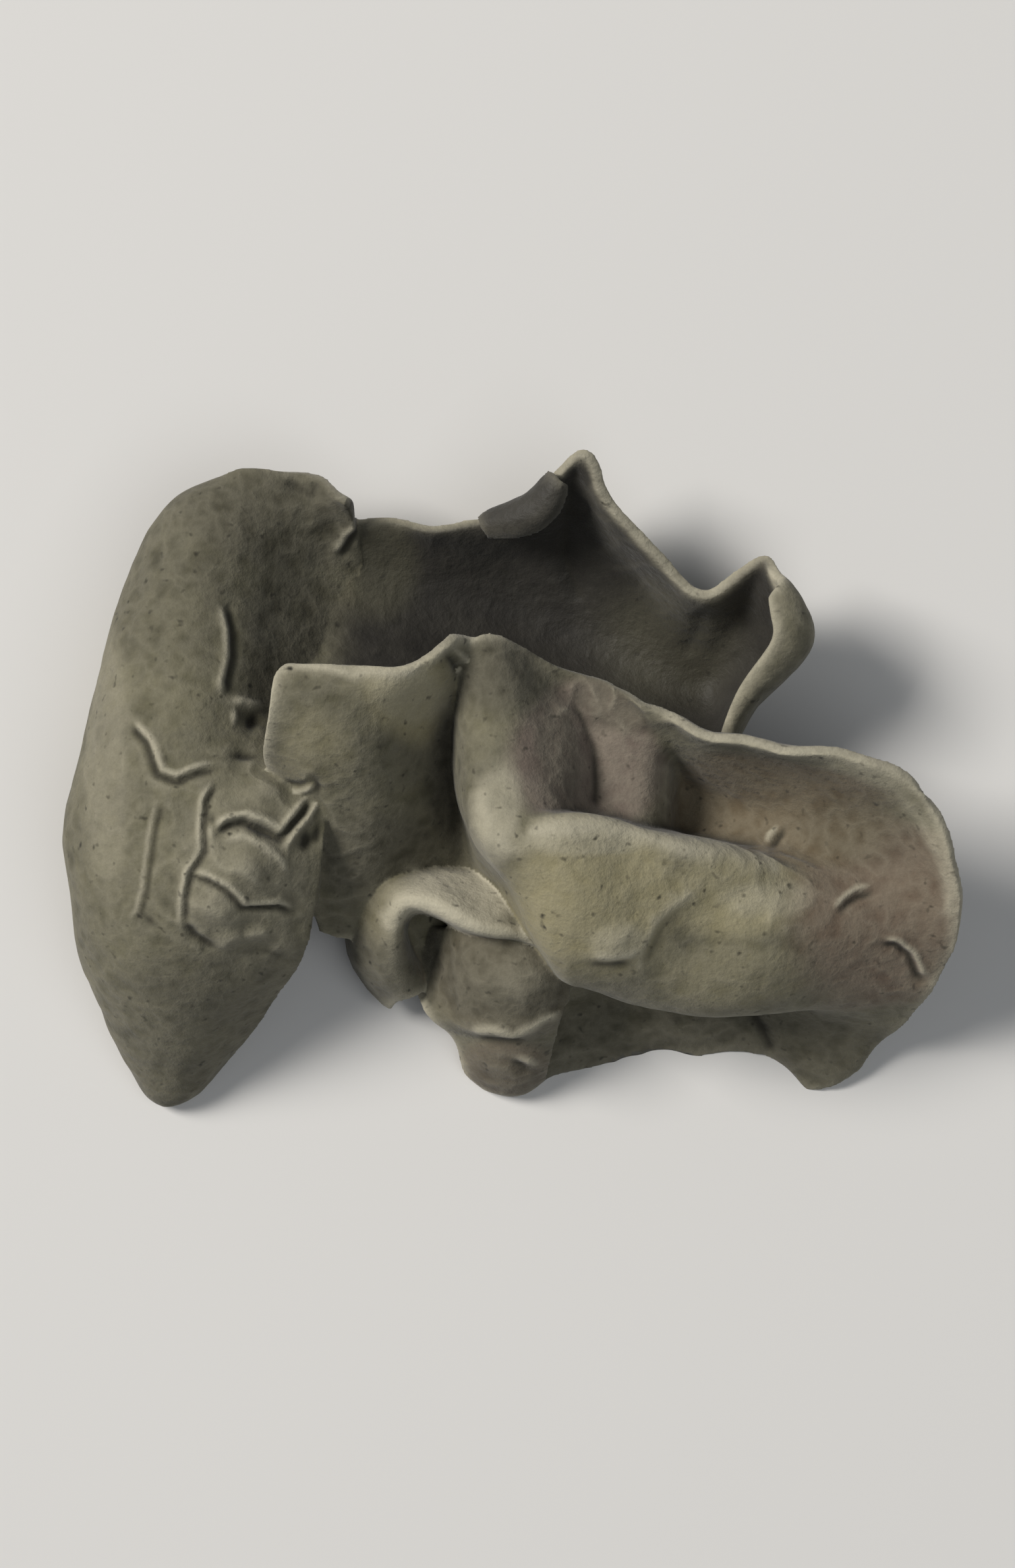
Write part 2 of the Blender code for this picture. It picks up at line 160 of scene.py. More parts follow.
# Each row runs from the back rim down to the hem; the flap comes first, then the ridge and the bowl.
# Stations: back rim, wall, floor (3), back of the lip, lip, belly top, belly, brow, tuck and hem.
FRILL: Net = (
    ((-11.5, 5.6, 13.4), (-12.1, 5.15, 14.0), (-12.35, 3.8, 13.9), (-12.65, 2.4, 12.8),
     (-12.75, 1.2, 11.2), (-12.2, 0.0, 10.2), (-11.6, -1.4, 9.4), (-11.1, -3.0, 8.6),
     (-10.9, -4.8, 7.6), (-10.7, -6.3, 6.5), (-10.3, -7.6, 5.2)),
    ((-9.4, 5.8, 14.2), (-9.7, 4.9, 14.4), (-9.8, 3.5, 14.0), (-9.5, 2.0, 13.0),
     (-9.1, 0.4, 11.7), (-8.7, -1.2, 10.5), (-8.3, -2.8, 9.3), (-7.9, -4.2, 8.0),
     (-7.6, -5.6, 6.7), (-7.4, -7.2, 5.2), (-7.2, -8.6, 4.0)),
    ((-6.2, 5.7, 14.2), (-6.6, 4.7, 14.0), (-6.8, 3.4, 13.0), (-6.6, 1.6, 11.7),
     (-6.2, 0.0, 10.3), (-5.9, -1.6, 8.7), (-5.7, -3.2, 7.2), (-5.6, -4.6, 5.9),
     (-5.6, -6.0, 4.8), (-5.6, -7.8, 3.8), (-5.6, -9.6, 3.0)),
    ((-3.2, 6.9, 13.8), (-3.3, 5.8, 12.0), (-3.3, 4.0, 9.0), (-3.1, 1.8, 6.9),
     (-2.9, -0.2, 5.9), (-2.6, -2.0, 5.3), (-2.3, -3.8, 4.8), (-2.1, -5.2, 4.4),
     (-2.2, -7.2, 3.8), (-2.6, -9.4, 3.0), (-3.4, -11.6, 2.0)),
    ((-2.3, 7.2, 12.4), (-2.5, 6.4, 12.0), (-2.5, 4.4, 11.0), (-2.45, 1.9, 11.2),
     (-2.35, -0.4, 11.8), (-1.9, -2.3, 12.2), (-1.3, -3.6, 11.2), (0.1, -5.4, 9.6),
     (1.2, -7.8, 8.2), (0.9, -9.2, 4.8), (-1.8, -14.6, 0.6)),
    ((-0.9, 7.2, 11.8), (-1.0, 6.2, 12.4), (-1.0, 4.2, 12.4), (-1.1, 1.8, 12.8),
     (-1.1, -0.8, 13.5), (-0.8, -2.7, 14.2), (-0.1, -4.2, 13.6), (1.2, -6.7, 12.0),
     (2.4, -9.6, 9.4), (2.1, -9.9, 4.6), (0.4, -16.4, -0.2)),
    ((1.4, 6.1, 10.6), (1.2, 4.8, 10.8), (1.0, 2.8, 11.6), (0.9, 0.4, 12.2),
     (1.1, -1.75, 13.0), (1.4, -2.4, 14.4), (1.6, -3.6, 14.4), (2.4, -6.2, 13.2),
     (3.4, -10.0, 9.6), (3.4, -9.8, 4.4), (1.8, -15.8, -0.2)),
    ((4.8, 4.8, 10.6), (4.4, 3.5, 10.0), (4.2, 1.6, 9.4), (4.2, -0.6, 9.3),
     (4.3, -1.95, 10.4), (4.3, -2.35, 13.6), (4.5, -3.5, 13.5), (4.9, -6.2, 12.9),
     (5.6, -10.8, 8.6), (5.4, -9.9, 3.6), (5.0, -15.1, -0.2)),
    ((7.1, 3.6, 11.4), (6.9, 2.4, 9.9), (6.8, 0.9, 9.0), (6.7, -1.1, 8.8),
     (6.6, -2.45, 9.8), (6.5, -2.85, 12.95), (6.7, -4.0, 12.8), (7.0, -6.7, 12.1),
     (7.3, -11.3, 8.2), (7.2, -10.3, 3.4), (7.0, -14.9, -0.2)),
    ((8.2, 3.1, 11.8), (8.1, 2.0, 8.8), (8.0, 0.6, 6.1), (7.9, -1.4, 5.7),
     (7.8, -2.8, 7.2), (7.7, -3.15, 12.5), (7.8, -4.3, 12.35), (8.0, -7.0, 11.7),
     (8.2, -11.5, 8.0), (8.1, -10.5, 3.3), (8.0, -14.8, -0.2)),
    ((9.8, 2.4, 12.3), (9.5, 1.4, 8.4), (9.3, 0.1, 5.4), (9.2, -1.7, 5.0),
     (9.1, -3.1, 6.6), (9.0, -3.45, 12.0), (9.1, -4.6, 11.9), (9.3, -7.3, 11.2),
     (9.5, -11.7, 7.8), (9.4, -10.7, 3.2), (9.3, -14.7, -0.2)),
    ((14.2, 1.8, 13.2), (13.9, 0.8, 9.8), (13.7, -0.7, 7.2), (13.5, -2.4, 6.6),
     (13.3, -3.9, 7.8), (13.2, -4.6, 10.1), (13.3, -5.8, 10.5), (13.5, -8.2, 10.2),
     (13.6, -11.4, 7.2), (13.4, -10.9, 3.4), (13.2, -14.4, -0.2)),
    ((18.6, 0.6, 13.3), (18.5, -0.5, 11.2), (18.4, -1.8, 9.6), (18.2, -3.2, 8.9),
     (18.1, -4.4, 8.8), (18.0, -5.5, 9.1), (17.9, -6.6, 9.4), (17.8, -8.4, 9.2),
     (17.4, -11.0, 6.8), (16.4, -12.4, 3.4), (15.4, -16.4, -0.2)),
    ((20.5, -0.7, 12.6), (21.3, -1.8, 12.3), (21.9, -2.9, 12.0), (22.3, -4.0, 11.5),
     (22.6, -5.1, 11.0), (22.7, -6.2, 10.4), (22.6, -7.4, 9.6), (22.3, -8.8, 8.5),
     (21.5, -10.4, 6.8), (20.4, -12.4, 4.0), (18.2, -15.0, 0.8)),
)

# Each row is one section across the crown cup, front to back; the last ones curl over.
CROWN: Net = (
    ((-11.0, 4.2, 6.9), (-10.9, 7.0, 5.2), (-10.8, 9.4, 4.4), (-10.6, 11.4, 4.4),
     (-10.2, 13.2, 5.2)),
    ((-6.4, 2.0, 8.2), (-6.6, 5.2, 5.0), (-6.6, 8.6, 3.2), (-6.6, 11.4, 3.4),
     (-6.6, 13.6, 5.2)),
    ((-1.6, 0.6, 6.8), (-1.4, 4.6, 3.0), (-1.2, 8.6, 1.0), (-1.0, 11.4, 2.2),
     (-1.5, 13.5, 5.4)),
    ((1.6, 0.6, 5.8), (1.7, 4.6, 1.6), (1.8, 8.8, 0.6), (1.7, 12.4, 3.0),
     (1.3, 15.1, 6.9)),
    ((3.4, 0.6, 5.4), (3.5, 4.8, 1.0), (3.6, 9.2, 0.7), (3.6, 13.4, 4.0),
     (3.4, 16.8, 8.8)),
    ((4.9, 0.7, 5.0), (5.0, 4.6, 0.7), (5.2, 8.6, 0.6), (5.2, 12.0, 3.4),
     (4.7, 14.7, 7.9)),
    ((6.6, 0.9, 4.6), (6.8, 4.2, 0.5), (7.1, 7.8, 0.5), (7.3, 10.4, 2.9),
     (7.0, 12.3, 7.0)),
    ((8.4, 1.1, 4.2), (8.8, 4.0, 0.4), (9.2, 6.8, 0.6), (9.6, 8.6, 3.0),
     (9.8, 9.8, 6.3)),
    ((10.6, 1.4, 3.8), (11.0, 4.0, 1.0), (11.6, 6.6, 1.4), (12.1, 9.2, 3.8),
     (12.3, 11.4, 7.2)),
    ((11.0, 1.2, 5.4), (12.3, 4.1, 6.0), (14.6, 6.8, 6.8), (14.3, 8.9, 7.6),
     (13.4, 10.9, 8.0)),
    ((10.8, 1.5, 7.0), (12.0, 4.4, 8.4), (14.2, 7.0, 9.3), (14.0, 8.7, 9.6),
     (13.3, 10.0, 9.3)),
    ((10.4, 1.9, 7.4), (11.4, 4.8, 8.6), (12.9, 7.0, 9.5), (13.0, 8.2, 9.7),
     (12.9, 9.3, 9.5)),
)

# The small roll at the crown's back edge: attached edge, top, free edge and tucked end.
CUFF: Net = (
    ((-1.7, 13.3, 5.5), (-1.6, 13.25, 5.8), (-1.5, 13.2, 5.7), (-1.45, 13.15, 5.5)),
    ((-0.8, 13.95, 5.9), (-0.7, 13.75, 6.6), (-0.5, 13.3, 6.7), (-0.4, 13.15, 6.2)),
    ((0.5, 14.55, 6.6), (0.6, 14.3, 7.4), (0.8, 13.6, 7.5), (0.85, 13.45, 6.9)),
    ((1.35, 15.15, 7.2), (1.5, 14.95, 8.0), (1.75, 14.4, 8.1), (1.8, 14.25, 7.5)),
    ((2.0, 15.75, 7.9), (2.1, 15.6, 8.3), (2.2, 15.4, 8.3), (2.25, 15.3, 8.0)),
)

# The fold round the scoop, from its lower left to the belly.
# Stations: foot, flank, near the fold, fold, inner side and tuck.
HOOD: Net = (
    ((-6.6, -12.0, 1.4), (-6.2, -11.5, 3.0), (-5.6, -11.2, 3.8), (-5.3, -11.1, 3.8),
     (-5.0, -11.0, 3.2), (-4.7, -10.9, 2.2)),
    ((-8.6, -9.8, 2.2), (-8.0, -9.7, 4.2), (-6.7, -9.6, 5.7), (-6.2, -9.5, 5.8),
     (-5.8, -9.45, 4.9), (-5.5, -9.4, 2.8)),
    ((-8.6, -7.0, 3.6), (-8.0, -7.2, 5.6), (-6.9, -7.5, 7.2), (-6.4, -7.7, 7.5),
     (-6.2, -7.8, 6.4), (-6.0, -7.9, 3.2)),
    ((-7.2, -4.9, 4.6), (-6.9, -5.4, 6.6), (-6.2, -6.05, 8.0), (-5.9, -6.4, 8.3),
     (-5.75, -6.6, 7.2), (-5.6, -6.8, 3.6)),
    ((-5.2, -4.6, 4.4), (-5.1, -5.2, 6.8), (-4.95, -5.85, 8.3), (-4.9, -6.2, 8.6),
     (-4.85, -6.42, 7.5), (-4.8, -6.6, 4.0)),
    ((-3.8, -4.6, 4.4), (-3.7, -5.4, 6.8), (-3.55, -6.3, 8.5), (-3.5, -6.7, 8.8),
     (-3.5, -6.92, 7.7), (-3.5, -7.1, 4.6)),
    ((-2.2, -4.8, 4.2), (-2.1, -5.7, 6.6), (-1.95, -7.1, 8.5), (-1.9, -7.5, 8.8),
     (-1.9, -7.72, 7.8), (-2.0, -7.9, 5.4)),
    ((-0.7, -4.8, 4.6), (-0.4, -5.9, 6.6), (0.1, -7.55, 8.2), (0.2, -7.95, 8.4),
     (0.2, -8.17, 7.5), (0.1, -8.35, 5.6)),
    ((0.9, -5.8, 5.2), (1.1, -6.9, 6.6), (1.4, -8.45, 7.5), (1.5, -8.85, 7.6),
     (1.55, -9.05, 6.9), (1.6, -9.2, 5.4)),
)

# The scoop's floor and the tip below it; each row runs from left to right, from the fold down.
TONGUE: Net = (
    ((-4.9, -7.6, 2.8), (-3.7, -7.7, 4.4), (-1.7, -7.8, 6.2), (0.6, -7.9, 6.6), (2.1, -8.2, 6.2)),
    ((-5.4, -9.0, 2.6), (-3.8, -9.0, 4.2), (-1.9, -9.1, 6.6), (0.5, -9.2, 7.2), (2.3, -9.3, 6.2)),
    ((-5.4, -10.3, 2.6), (-3.9, -10.4, 4.0), (-1.9, -10.5, 6.6), (0.5, -10.6, 7.2), (2.5, -10.6, 5.9)),
    ((-5.0, -11.3, 2.9), (-3.6, -11.6, 3.9), (-1.8, -11.8, 5.9), (0.4, -11.8, 6.5), (2.4, -11.4, 5.5)),
    ((-4.3, -12.2, 2.9), (-3.3, -12.4, 3.9), (-1.6, -12.6, 5.5), (0.0, -12.7, 6.0), (2.1, -11.9, 5.5)),
    ((-3.8, -12.9, 2.2), (-3.0, -13.1, 2.9), (-1.4, -13.2, 4.2), (0.2, -13.3, 4.6), (1.9, -12.8, 4.3)),
    ((-3.0, -14.2, 1.2), (-2.2, -14.6, 2.0), (-0.9, -14.9, 2.9), (0.4, -14.9, 3.1), (1.6, -14.6, 2.6)),
    ((-2.3, -15.6, -0.2), (-1.6, -16.0, 0.1), (-0.6, -16.5, 0.2), (0.3, -16.6, 0.2), (1.3, -15.9, 0.0)),
)

# The pad under the wrinkled part of the ear and the flap.
KNOT: Net = (
    ((-13.6, -5.4, 9.2), (-12.2, -6.0, 8.4), (-10.8, -6.2, 7.0)),
    ((-14.0, -2.6, 10.4), (-12.2, -2.6, 9.8), (-10.4, -2.4, 8.8)),
    ((-13.8, 0.4, 10.0), (-12.2, 0.6, 9.8), (-10.0, 0.6, 10.0)),
)


# ------------------------------------------------------------------------------ small surface maths


def smoothstep(low: float, high: float, value: Array) -> Array:
    """0 below `low`, 1 above `high`, and 3t^2 - 2t^3 between them."""
    share = np.clip((value - low) / (high - low), 0.0, 1.0)
    return share * share * (3 - 2 * share)


def unit(vectors: Array) -> Array:
    """The vectors at length 1."""
    return vectors / np.maximum(np.linalg.norm(vectors, axis=-1, keepdims=True), 1e-12)


def spline_weights(knots: Array, samples: int) -> Array:
    """Weights that turn one set point for each knot into points on a natural cubic spline.

    The second derivatives solve the usual band system; each span then blends its two end points
    linearly and adds (t^3 - t) / 6 of the second derivative at each end, times the span squared.

    Args:
        knots: The parameter of each set point, rising.
        samples: How many points are wanted, evenly spaced in the parameter.

    Returns:
        An array of samples x knots weights.
    """
    count, gap = len(knots), np.diff(knots)
    bands, pulls = np.eye(count), np.zeros((count, count))
    inner = np.arange(1, count - 1)
    before, after = gap[:-1], gap[1:]
    bands[inner, inner] = 2 * (before + after)
    bands[inner, inner - 1], bands[inner, inner + 1] = before, after
    pulls[inner, inner - 1], pulls[inner, inner + 1] = 6 / before, 6 / after
    pulls[inner, inner] = -6 / before - 6 / after
    bends = np.linalg.solve(bands, pulls)
    place = np.linspace(knots[0], knots[-1], samples)
    span = np.clip(np.searchsorted(knots, place, side="right") - 1, 0, count - 2)
    far = ((place - knots[span]) / gap[span])[:, None]
    near = 1 - far
    points = np.eye(count)
    bent = (near**3 - near) * bends[span] + (far**3 - far) * bends[span + 1]
    return near * points[span] + far * points[span + 1] + bent * (gap[span] ** 2 / 6)[:, None]


def blur(grid: Array, reach: int) -> Array:
    """The grid averaged over a Hann window of 2 x reach + 1 samples both ways, edges repeated."""
    window = np.hanning(2 * reach + 3)[1:-1]
    window /= window.sum()
    for axis in (0, 1):
        pads = [(0, 0)] * grid.ndim
        pads[axis] = (reach, reach)
        padded = np.pad(grid, pads, mode="edge")
        length = grid.shape[axis]
        parts = [w * np.take(padded, np.arange(k, k + length), axis) for k, w in enumerate(window)]
        grid = np.sum(parts, axis=0)
    return grid


def waves(points: Array, wavelength: float, seed: int, count: int = 26) -> Array:
    """A smooth random field near -2 to 2: a sum of cosines in random directions.

    Args:
        points: Positions in mm, with the coordinates last.
        wavelength: The middle wavelength in mm.
        seed: Picks the field.
        count: How many cosines are summed.

    Returns:
        One value for each position.
    """
    draw = np.random.default_rng(seed)
    heading = unit(draw.normal(size=(count, 3)))
    pace = 2 * math.pi / wavelength * draw.uniform(0.6, 1.5, count)
    phase = draw.uniform(0, 2 * math.pi, count)
    return np.cos(points @ (heading * pace[:, None]).T + phase).sum(-1) * math.sqrt(2 / count)


def line_place(points: Array, line: tuple[Spot, ...]) -> tuple[Array, Array]:
    """Where each point is beside a line, seen from above.

    Args:
        points: Positions in mm.
        line: The line's spots in order.

    Returns:
        The distance to the line, positive on the left of its direction, and the distance from the
        nearest place on it to its nearer end.
    """
    spots = np.array(line, float)
    start, step = spots[:-1], np.diff(spots, axis=0)
    length = np.linalg.norm(step, axis=1)
    offset = points[..., None, :2] - start
    share = np.clip((offset * step).sum(-1) / length**2, 0, 1)
    reach = np.linalg.norm(offset - share[..., None] * step, axis=-1)
    left = step[:, 0] * offset[..., 1] - step[:, 1] * offset[..., 0]
    run = share * length + np.concatenate([[0], length.cumsum()[:-1]])
    nearest = reach.argmin(-1)[..., None]
    picked = (np.take_along_axis(value, nearest, -1)[..., 0] for value in (reach, left, run))
    distance, side, run = picked
    return np.copysign(distance, side), np.minimum(run, length.sum() - run)


# ------------------------------------------------------------------------- what is drawn on a sheet


@dataclass(frozen=True, kw_only=True)
class Mark:
    """Something drawn on a sheet, kept to a range of its stations and of its sections."""

    stations: Spot = (-9.0, 99.0)
    sections: Spot = (-9.0, 99.0)

    SOFTNESS = 0.35

    def window(self, section: Array, station: Array) -> Array:
        """1 inside both ranges and 0 outside, with a soft border.

        Args:
            section: The section's number at each point, with its share of the way to the next.
            station: The same along the section.

        Returns:
            Values from 0 to 1.
        """
        inside = np.ones(np.broadcast_shapes(section.shape, station.shape))
        half = self.SOFTNESS / 2
        for value, (low, high) in ((section, self.sections), (station, self.stations)):
            inside = inside * smoothstep(low - half, low + half, value)
            inside = inside * (1 - smoothstep(high - half, high + half, value))
        return inside

    def shape(self, points: Array) -> Array:
        """The mark's strength at each point, 1 at its middle."""
        raise NotImplementedError


@dataclass(frozen=True)
class Crease(Mark):
    """A raised fold along a line, or a groove where the height is below 0, and its colour.

    A positive paint makes the line pale, partly as a painted highlight, and a negative one makes it dark
    as painted shade in its groove.
    """

    line: tuple[Spot, ...]
    height: float
    width: float
    paint: float = 0.0

    TAPER = 0.7
    LEAST = 0.15

    def taper(self, run: Array) -> Array:
        """LEAST at the line's ends, rising to 1 within TAPER mm."""
        return self.LEAST + (1 - self.LEAST) * smoothstep(0, self.TAPER, run)

    def shape(self, points: Array) -> Array:
        """exp(-(distance / width)^1.5), thinner towards the ends."""
        distance, run = line_place(points, self.line)
        return np.exp(-np.abs(distance / self.width) ** 1.5) * self.taper(run)


@dataclass(frozen=True)
class Fold(Crease):
    """A crease whose groove runs along the line, with its raised lip on the left of its direction."""

    LIP = 0.8
    LIP_PLACE = 1.6

    def shape(self, points: Array) -> Array:
        """LIP x exp(-(t - LIP_PLACE)^2) - exp(-t^2), where t is the distance in widths."""
        distance, run = line_place(points, self.line)
        across = distance / self.width
        lip = self.LIP * np.exp(-((across - self.LIP_PLACE) ** 2))
        return (lip - np.exp(-(across**2))) * self.taper(run)


@dataclass(frozen=True)
class Bulge(Mark):
    """A round swelling, or a dent where the height is below 0."""

    centre: Spot
    radii: Spot
    height: float

    def shape(self, points: Array) -> Array:
        """exp(-r^2), where r is the distance in radii."""
        across = (points[..., 0] - self.centre[0]) / self.radii[0]
        along = (points[..., 1] - self.centre[1]) / self.radii[1]
        return np.exp(-(across**2) - along**2)


@dataclass(frozen=True)
class Zone(Mark):
    """A tint over an ellipse seen from above, full inside the first edge and gone at the second."""

    channel: Channel
    centre: Spot
    radii: Spot
    strength: float = 1.0
    edge: Spot = (0.6, 1.15)

    def shape(self, points: Array) -> Array:
        """1 - smoothstep of the distance in radii."""
        radius = np.hypot(
            (points[..., 0] - self.centre[0]) / self.radii[0],
            (points[..., 1] - self.centre[1]) / self.radii[1],
        )
        return 1 - smoothstep(*self.edge, radius)


@dataclass
class Shell:
    """A closed shell: its points in mm, its faces, and its looks as a column for each channel."""

    points: Array
    faces: NDArray[np.int64]
    looks: Array


@dataclass
class Sheet:
    """One lobe: a sheet lofted through sections, wrinkled and given its thickness.

    The free edges are those before the first section, after the last one, before the first station
    and after the last one. The dark inner side fades in along X between the two values of
    `fade_inner`, and `relief_share` says how much the relief paints pale crests, partly painted
    highlight, and painted shade in hollows.
    """

    name: str
    net: Net
    spacing: float = 0.12
    upper: Facing = Facing.OUTER
    free: tuple[bool, bool, bool, bool] = (True, True, True, True)
    thickness: float = 0.95
    rim_thickness: float = 0.5
    seed: int = 1
    undulation: float = 0.10
    vein: float = 0.05
    rim_wave: float = 0.16
    creases: tuple[Crease, ...] = ()
    bulges: tuple[Bulge, ...] = ()
    zones: tuple[Zone, ...] = ()
    fade_inner: Spot | None = None
    crumple: float = 0.22
    relief_share: float = 1.0

    UNDULATION_LENGTH = 8.0
    VEIN_LENGTH = 3.4
    VEIN_SHARPNESS = 1.6
    VEIN_PATCH_LENGTH = 9.0
    RIM_WAVE_LENGTH = 4.6
    RIM_REACH = 1.4
    RIM_PAINT_REACH = 0.45
    CRUMPLE_LENGTH = 2.4
    CRUMPLE_LEVEL = 0.6
    CRUMPLE_SHARPNESS = 0.7
    LEAST_CRUMPLE = 0.12
    RELIEF_SCALES = ((4, 0.09), (14, 0.8))
    RELIEF_GAIN = 0.6
    # pale crests, partly painted highlight, start where the relief rises above this
    CREST_LIGHT_FROM = 0.12
    # painted shade starts where the relief sinks below this
    HOLLOW_SHADE_FROM = 0.08

    def knots(self, axis: int) -> Array:
        """The parameter of each section (axis 0) or station (axis 1).

        The steps are the square roots of the mean distances between neighbours, so the sheet turns
        sharply where its points are close.
        """
        steps = np.linalg.norm(np.diff(np.array(self.net), axis=axis), axis=2).mean(1 - axis)
        return np.concatenate([[0], np.sqrt(steps).cumsum()])

    def counts(self) -> tuple[int, int]:
        """How many rows and columns keep the grid's steps near the wanted spacing."""
        net = np.array(self.net)
        along = np.linalg.norm(np.diff(net, axis=0), axis=2).sum(0).max()
        across = np.linalg.norm(np.diff(net, axis=1), axis=2).sum(1).max()
        return int(along / self.spacing) + 2, int(across / self.spacing) + 2

    def loft(self) -> Array:
        """The smooth sheet: natural cubic splines through the net both ways."""
        rows, columns = self.counts()
        along, across = spline_weights(self.knots(0), rows), spline_weights(self.knots(1), columns)
        return np.einsum("ai,ijk,bj->abk", along, np.array(self.net), across)

    def normals(self, grid: Array) -> Array:
        """Unit normals, as the cross product of the steps along both parameters, turned upwards."""
        facing = unit(np.cross(np.gradient(grid, axis=0), np.gradient(grid, axis=1)))
        return facing if facing[..., 2].mean() > 0 else -facing

    def rim_distance(self, grid: Array) -> Array:
        """The distance in mm along the sheet from each point to the nearest free edge."""
        down = np.linalg.norm(np.diff(grid, axis=0, prepend=grid[:1]), axis=2).cumsum(0)
        over = np.linalg.norm(np.diff(grid, axis=1, prepend=grid[:, :1]), axis=2).cumsum(1)
        edges = (down, down[-1:] - down, over, over[:, -1:] - over)
        chosen = [edge for edge, free in zip(edges, self.free) if free]
        return np.min(chosen, axis=0) if chosen else np.full(grid.shape[:2], 99.0)

    def parameters(self, grid: Array) -> tuple[Array, Array]:
        """The section and station numbers over the grid, as a column and a row."""
        section, station = (
            np.interp(np.linspace(0, knots[-1], count), knots, np.arange(len(knots)))
            for knots, count in zip((self.knots(0), self.knots(1)), grid.shape)
        )
        return section[:, None], station[None, :]

    def wrinkles(self, grid: Array, rim: Array) -> Array:
        """How far the sheet's waves, veins, creases and bulges lift it along its normal.

        Waves are a slow random field. Veins are 1 - VEIN_SHARPNESS |field|, kept above 0, so thin
        ridges, and come in patches. The rim carries quicker waves that fade as exp(-distance)
        inwards. Crumples are CRUMPLE_LEVEL - |field|^CRUMPLE_SHARPNESS, so sharp folds.

        Args:
            grid: The smooth sheet.
            rim: The distance from its free edge.

        Returns:
            The lift in mm.
        """
        place = self.parameters(grid)
        lift = self.undulation * waves(grid, self.UNDULATION_LENGTH, self.seed)
        thin = np.abs(waves(grid, self.VEIN_LENGTH, self.seed + 1))
        patch = 0.5 + 0.5 * np.tanh(waves(grid, self.VEIN_PATCH_LENGTH, self.seed + 2))
        lift += self.vein * np.clip(1 - self.VEIN_SHARPNESS * thin, 0, 1) * patch
        edge = np.exp(-rim / self.RIM_REACH)
        lift += self.rim_wave * edge * waves(grid, self.RIM_WAVE_LENGTH, self.seed + 3)
        sharp = np.abs(waves(grid, self.CRUMPLE_LENGTH, self.seed + 4)) ** self.CRUMPLE_SHARPNESS
        share = self.LEAST_CRUMPLE + self.tint(Channel.CRUMPLE, grid)
        lift += self.crumple * (self.CRUMPLE_LEVEL - sharp) * share
        for mark in self.creases + self.bulges:
            lift += mark.height * mark.shape(grid) * mark.window(*place)
        return lift

    def relief(self, grid: Array, normal: Array) -> Array:
        """How far each point stands out of its surroundings, near -1 to 1, on two scales.

        Each scale adds RELIEF_GAIN x tanh(height over the blurred sheet / scale).
        """
        stand = sum(
            self.RELIEF_GAIN * np.tanh(((grid - blur(grid, reach)) * normal).sum(-1) / scale)
            for reach, scale in self.RELIEF_SCALES
        )
        return np.clip(stand, -1, 1)

    def tint(self, channel: Channel, grid: Array) -> Array:
        """One tint channel over the grid, as the largest of its zones."""
        place = self.parameters(grid)
        zones = [zone for zone in self.zones if zone.channel is channel]
        covers = [zone.strength * zone.shape(grid) * zone.window(*place) for zone in zones]
        return np.max([np.zeros(grid.shape[:2]), *covers], axis=0)

    def painted_lines(self, grid: Array) -> Array:
        """The paint of every crease, added up: painted shade in grooves, and pale lines that are partly
        painted highlight.
        """
        place = self.parameters(grid)
        painted = [mark for mark in self.creases if mark.paint]
        lines = [mark.paint * mark.shape(grid) * mark.window(*place) for mark in painted]
        return sum(lines, np.zeros(grid.shape[:2]))

    def side_looks(self, grid: Array, relief: Array, rim: Array, inner: Array, upper: bool) -> Array:
        """The looks of one side of the sheet.

        Args:
            grid: The smooth sheet.
            relief: How far each point stands out on this side.
            rim: The distance from the free edge.
            inner: 1 where this side is the dark inner one.
            upper: Whether this side carries the zones and painted lines.

        Returns:
            One column for each channel.
        """
        bare = np.zeros(rim.shape)
        found = {channel: self.tint(channel, grid) if upper else bare for channel in Channel}
        marked = relief * self.relief_share + (self.painted_lines(grid) if upper else 0)
        edge = np.exp(-((rim / self.RIM_PAINT_REACH) ** 2))
        found[Channel.INNER] = inner
        found[Channel.RIM] = edge * (1 - found[Channel.DULL_RIM])
        # pale crests, partly painted highlight
        found[Channel.CREST] = np.clip(marked - self.CREST_LIGHT_FROM, 0, 1)
        # painted shade in hollows and dark-painted grooves
        found[Channel.HOLLOW] = np.clip(-marked - self.HOLLOW_SHADE_FROM, 0, 1)
        return np.stack([found[channel] for channel in Channel], axis=-1)

    def faces(self, rows: int, columns: int) -> NDArray[np.int64]:
        """Quads of the upper and lower grids and of the wall that joins their edges."""
        index = np.arange(rows * columns).reshape(rows, columns)
        upper = np.stack([index[:-1, :-1], index[1:, :-1], index[1:, 1:], index[:-1, 1:]], -1)
        upper = upper.reshape(-1, 4)
        loop = np.concatenate([index[0, :-1], index[:-1, -1], index[-1, :0:-1], index[:0:-1, 0]])
        after = np.roll(loop, -1)
        lower = index.size
        wall = np.stack([loop, after, after + lower, loop + lower], -1)
        return np.concatenate([upper, upper[:, ::-1] + lower, wall])

    def shell(self) -> Shell:
        """The closed shell of this lobe, with its looks."""
        grid = self.loft()
        normal, rim = self.normals(grid), self.rim_distance(grid)
        swell = 1 - np.exp(-rim / self.RIM_REACH)
        half = (self.rim_thickness + (self.thickness - self.rim_thickness) * swell) / 2
        lift = self.wrinkles(grid, rim)
        upper = grid + normal * (lift + half)[..., None]
        lower = grid + normal * (lift - half)[..., None]
        dark = np.ones(rim.shape)
        if self.fade_inner is not None:
            dark = smoothstep(*self.fade_inner, grid[..., 0])
        above, below = (dark, 0 * dark) if self.upper is Facing.INNER else (0 * dark, dark)
        looks = np.concatenate([
            self.side_looks(grid, self.relief(upper, normal), rim, above, True),
            self.side_looks(grid, -self.relief(lower, normal), rim, below, False),
        ])
        points = np.concatenate([upper, lower]).reshape(-1, 3)
        return Shell(points, self.faces(*grid.shape[:2]), looks.reshape(-1, len(Channel)))
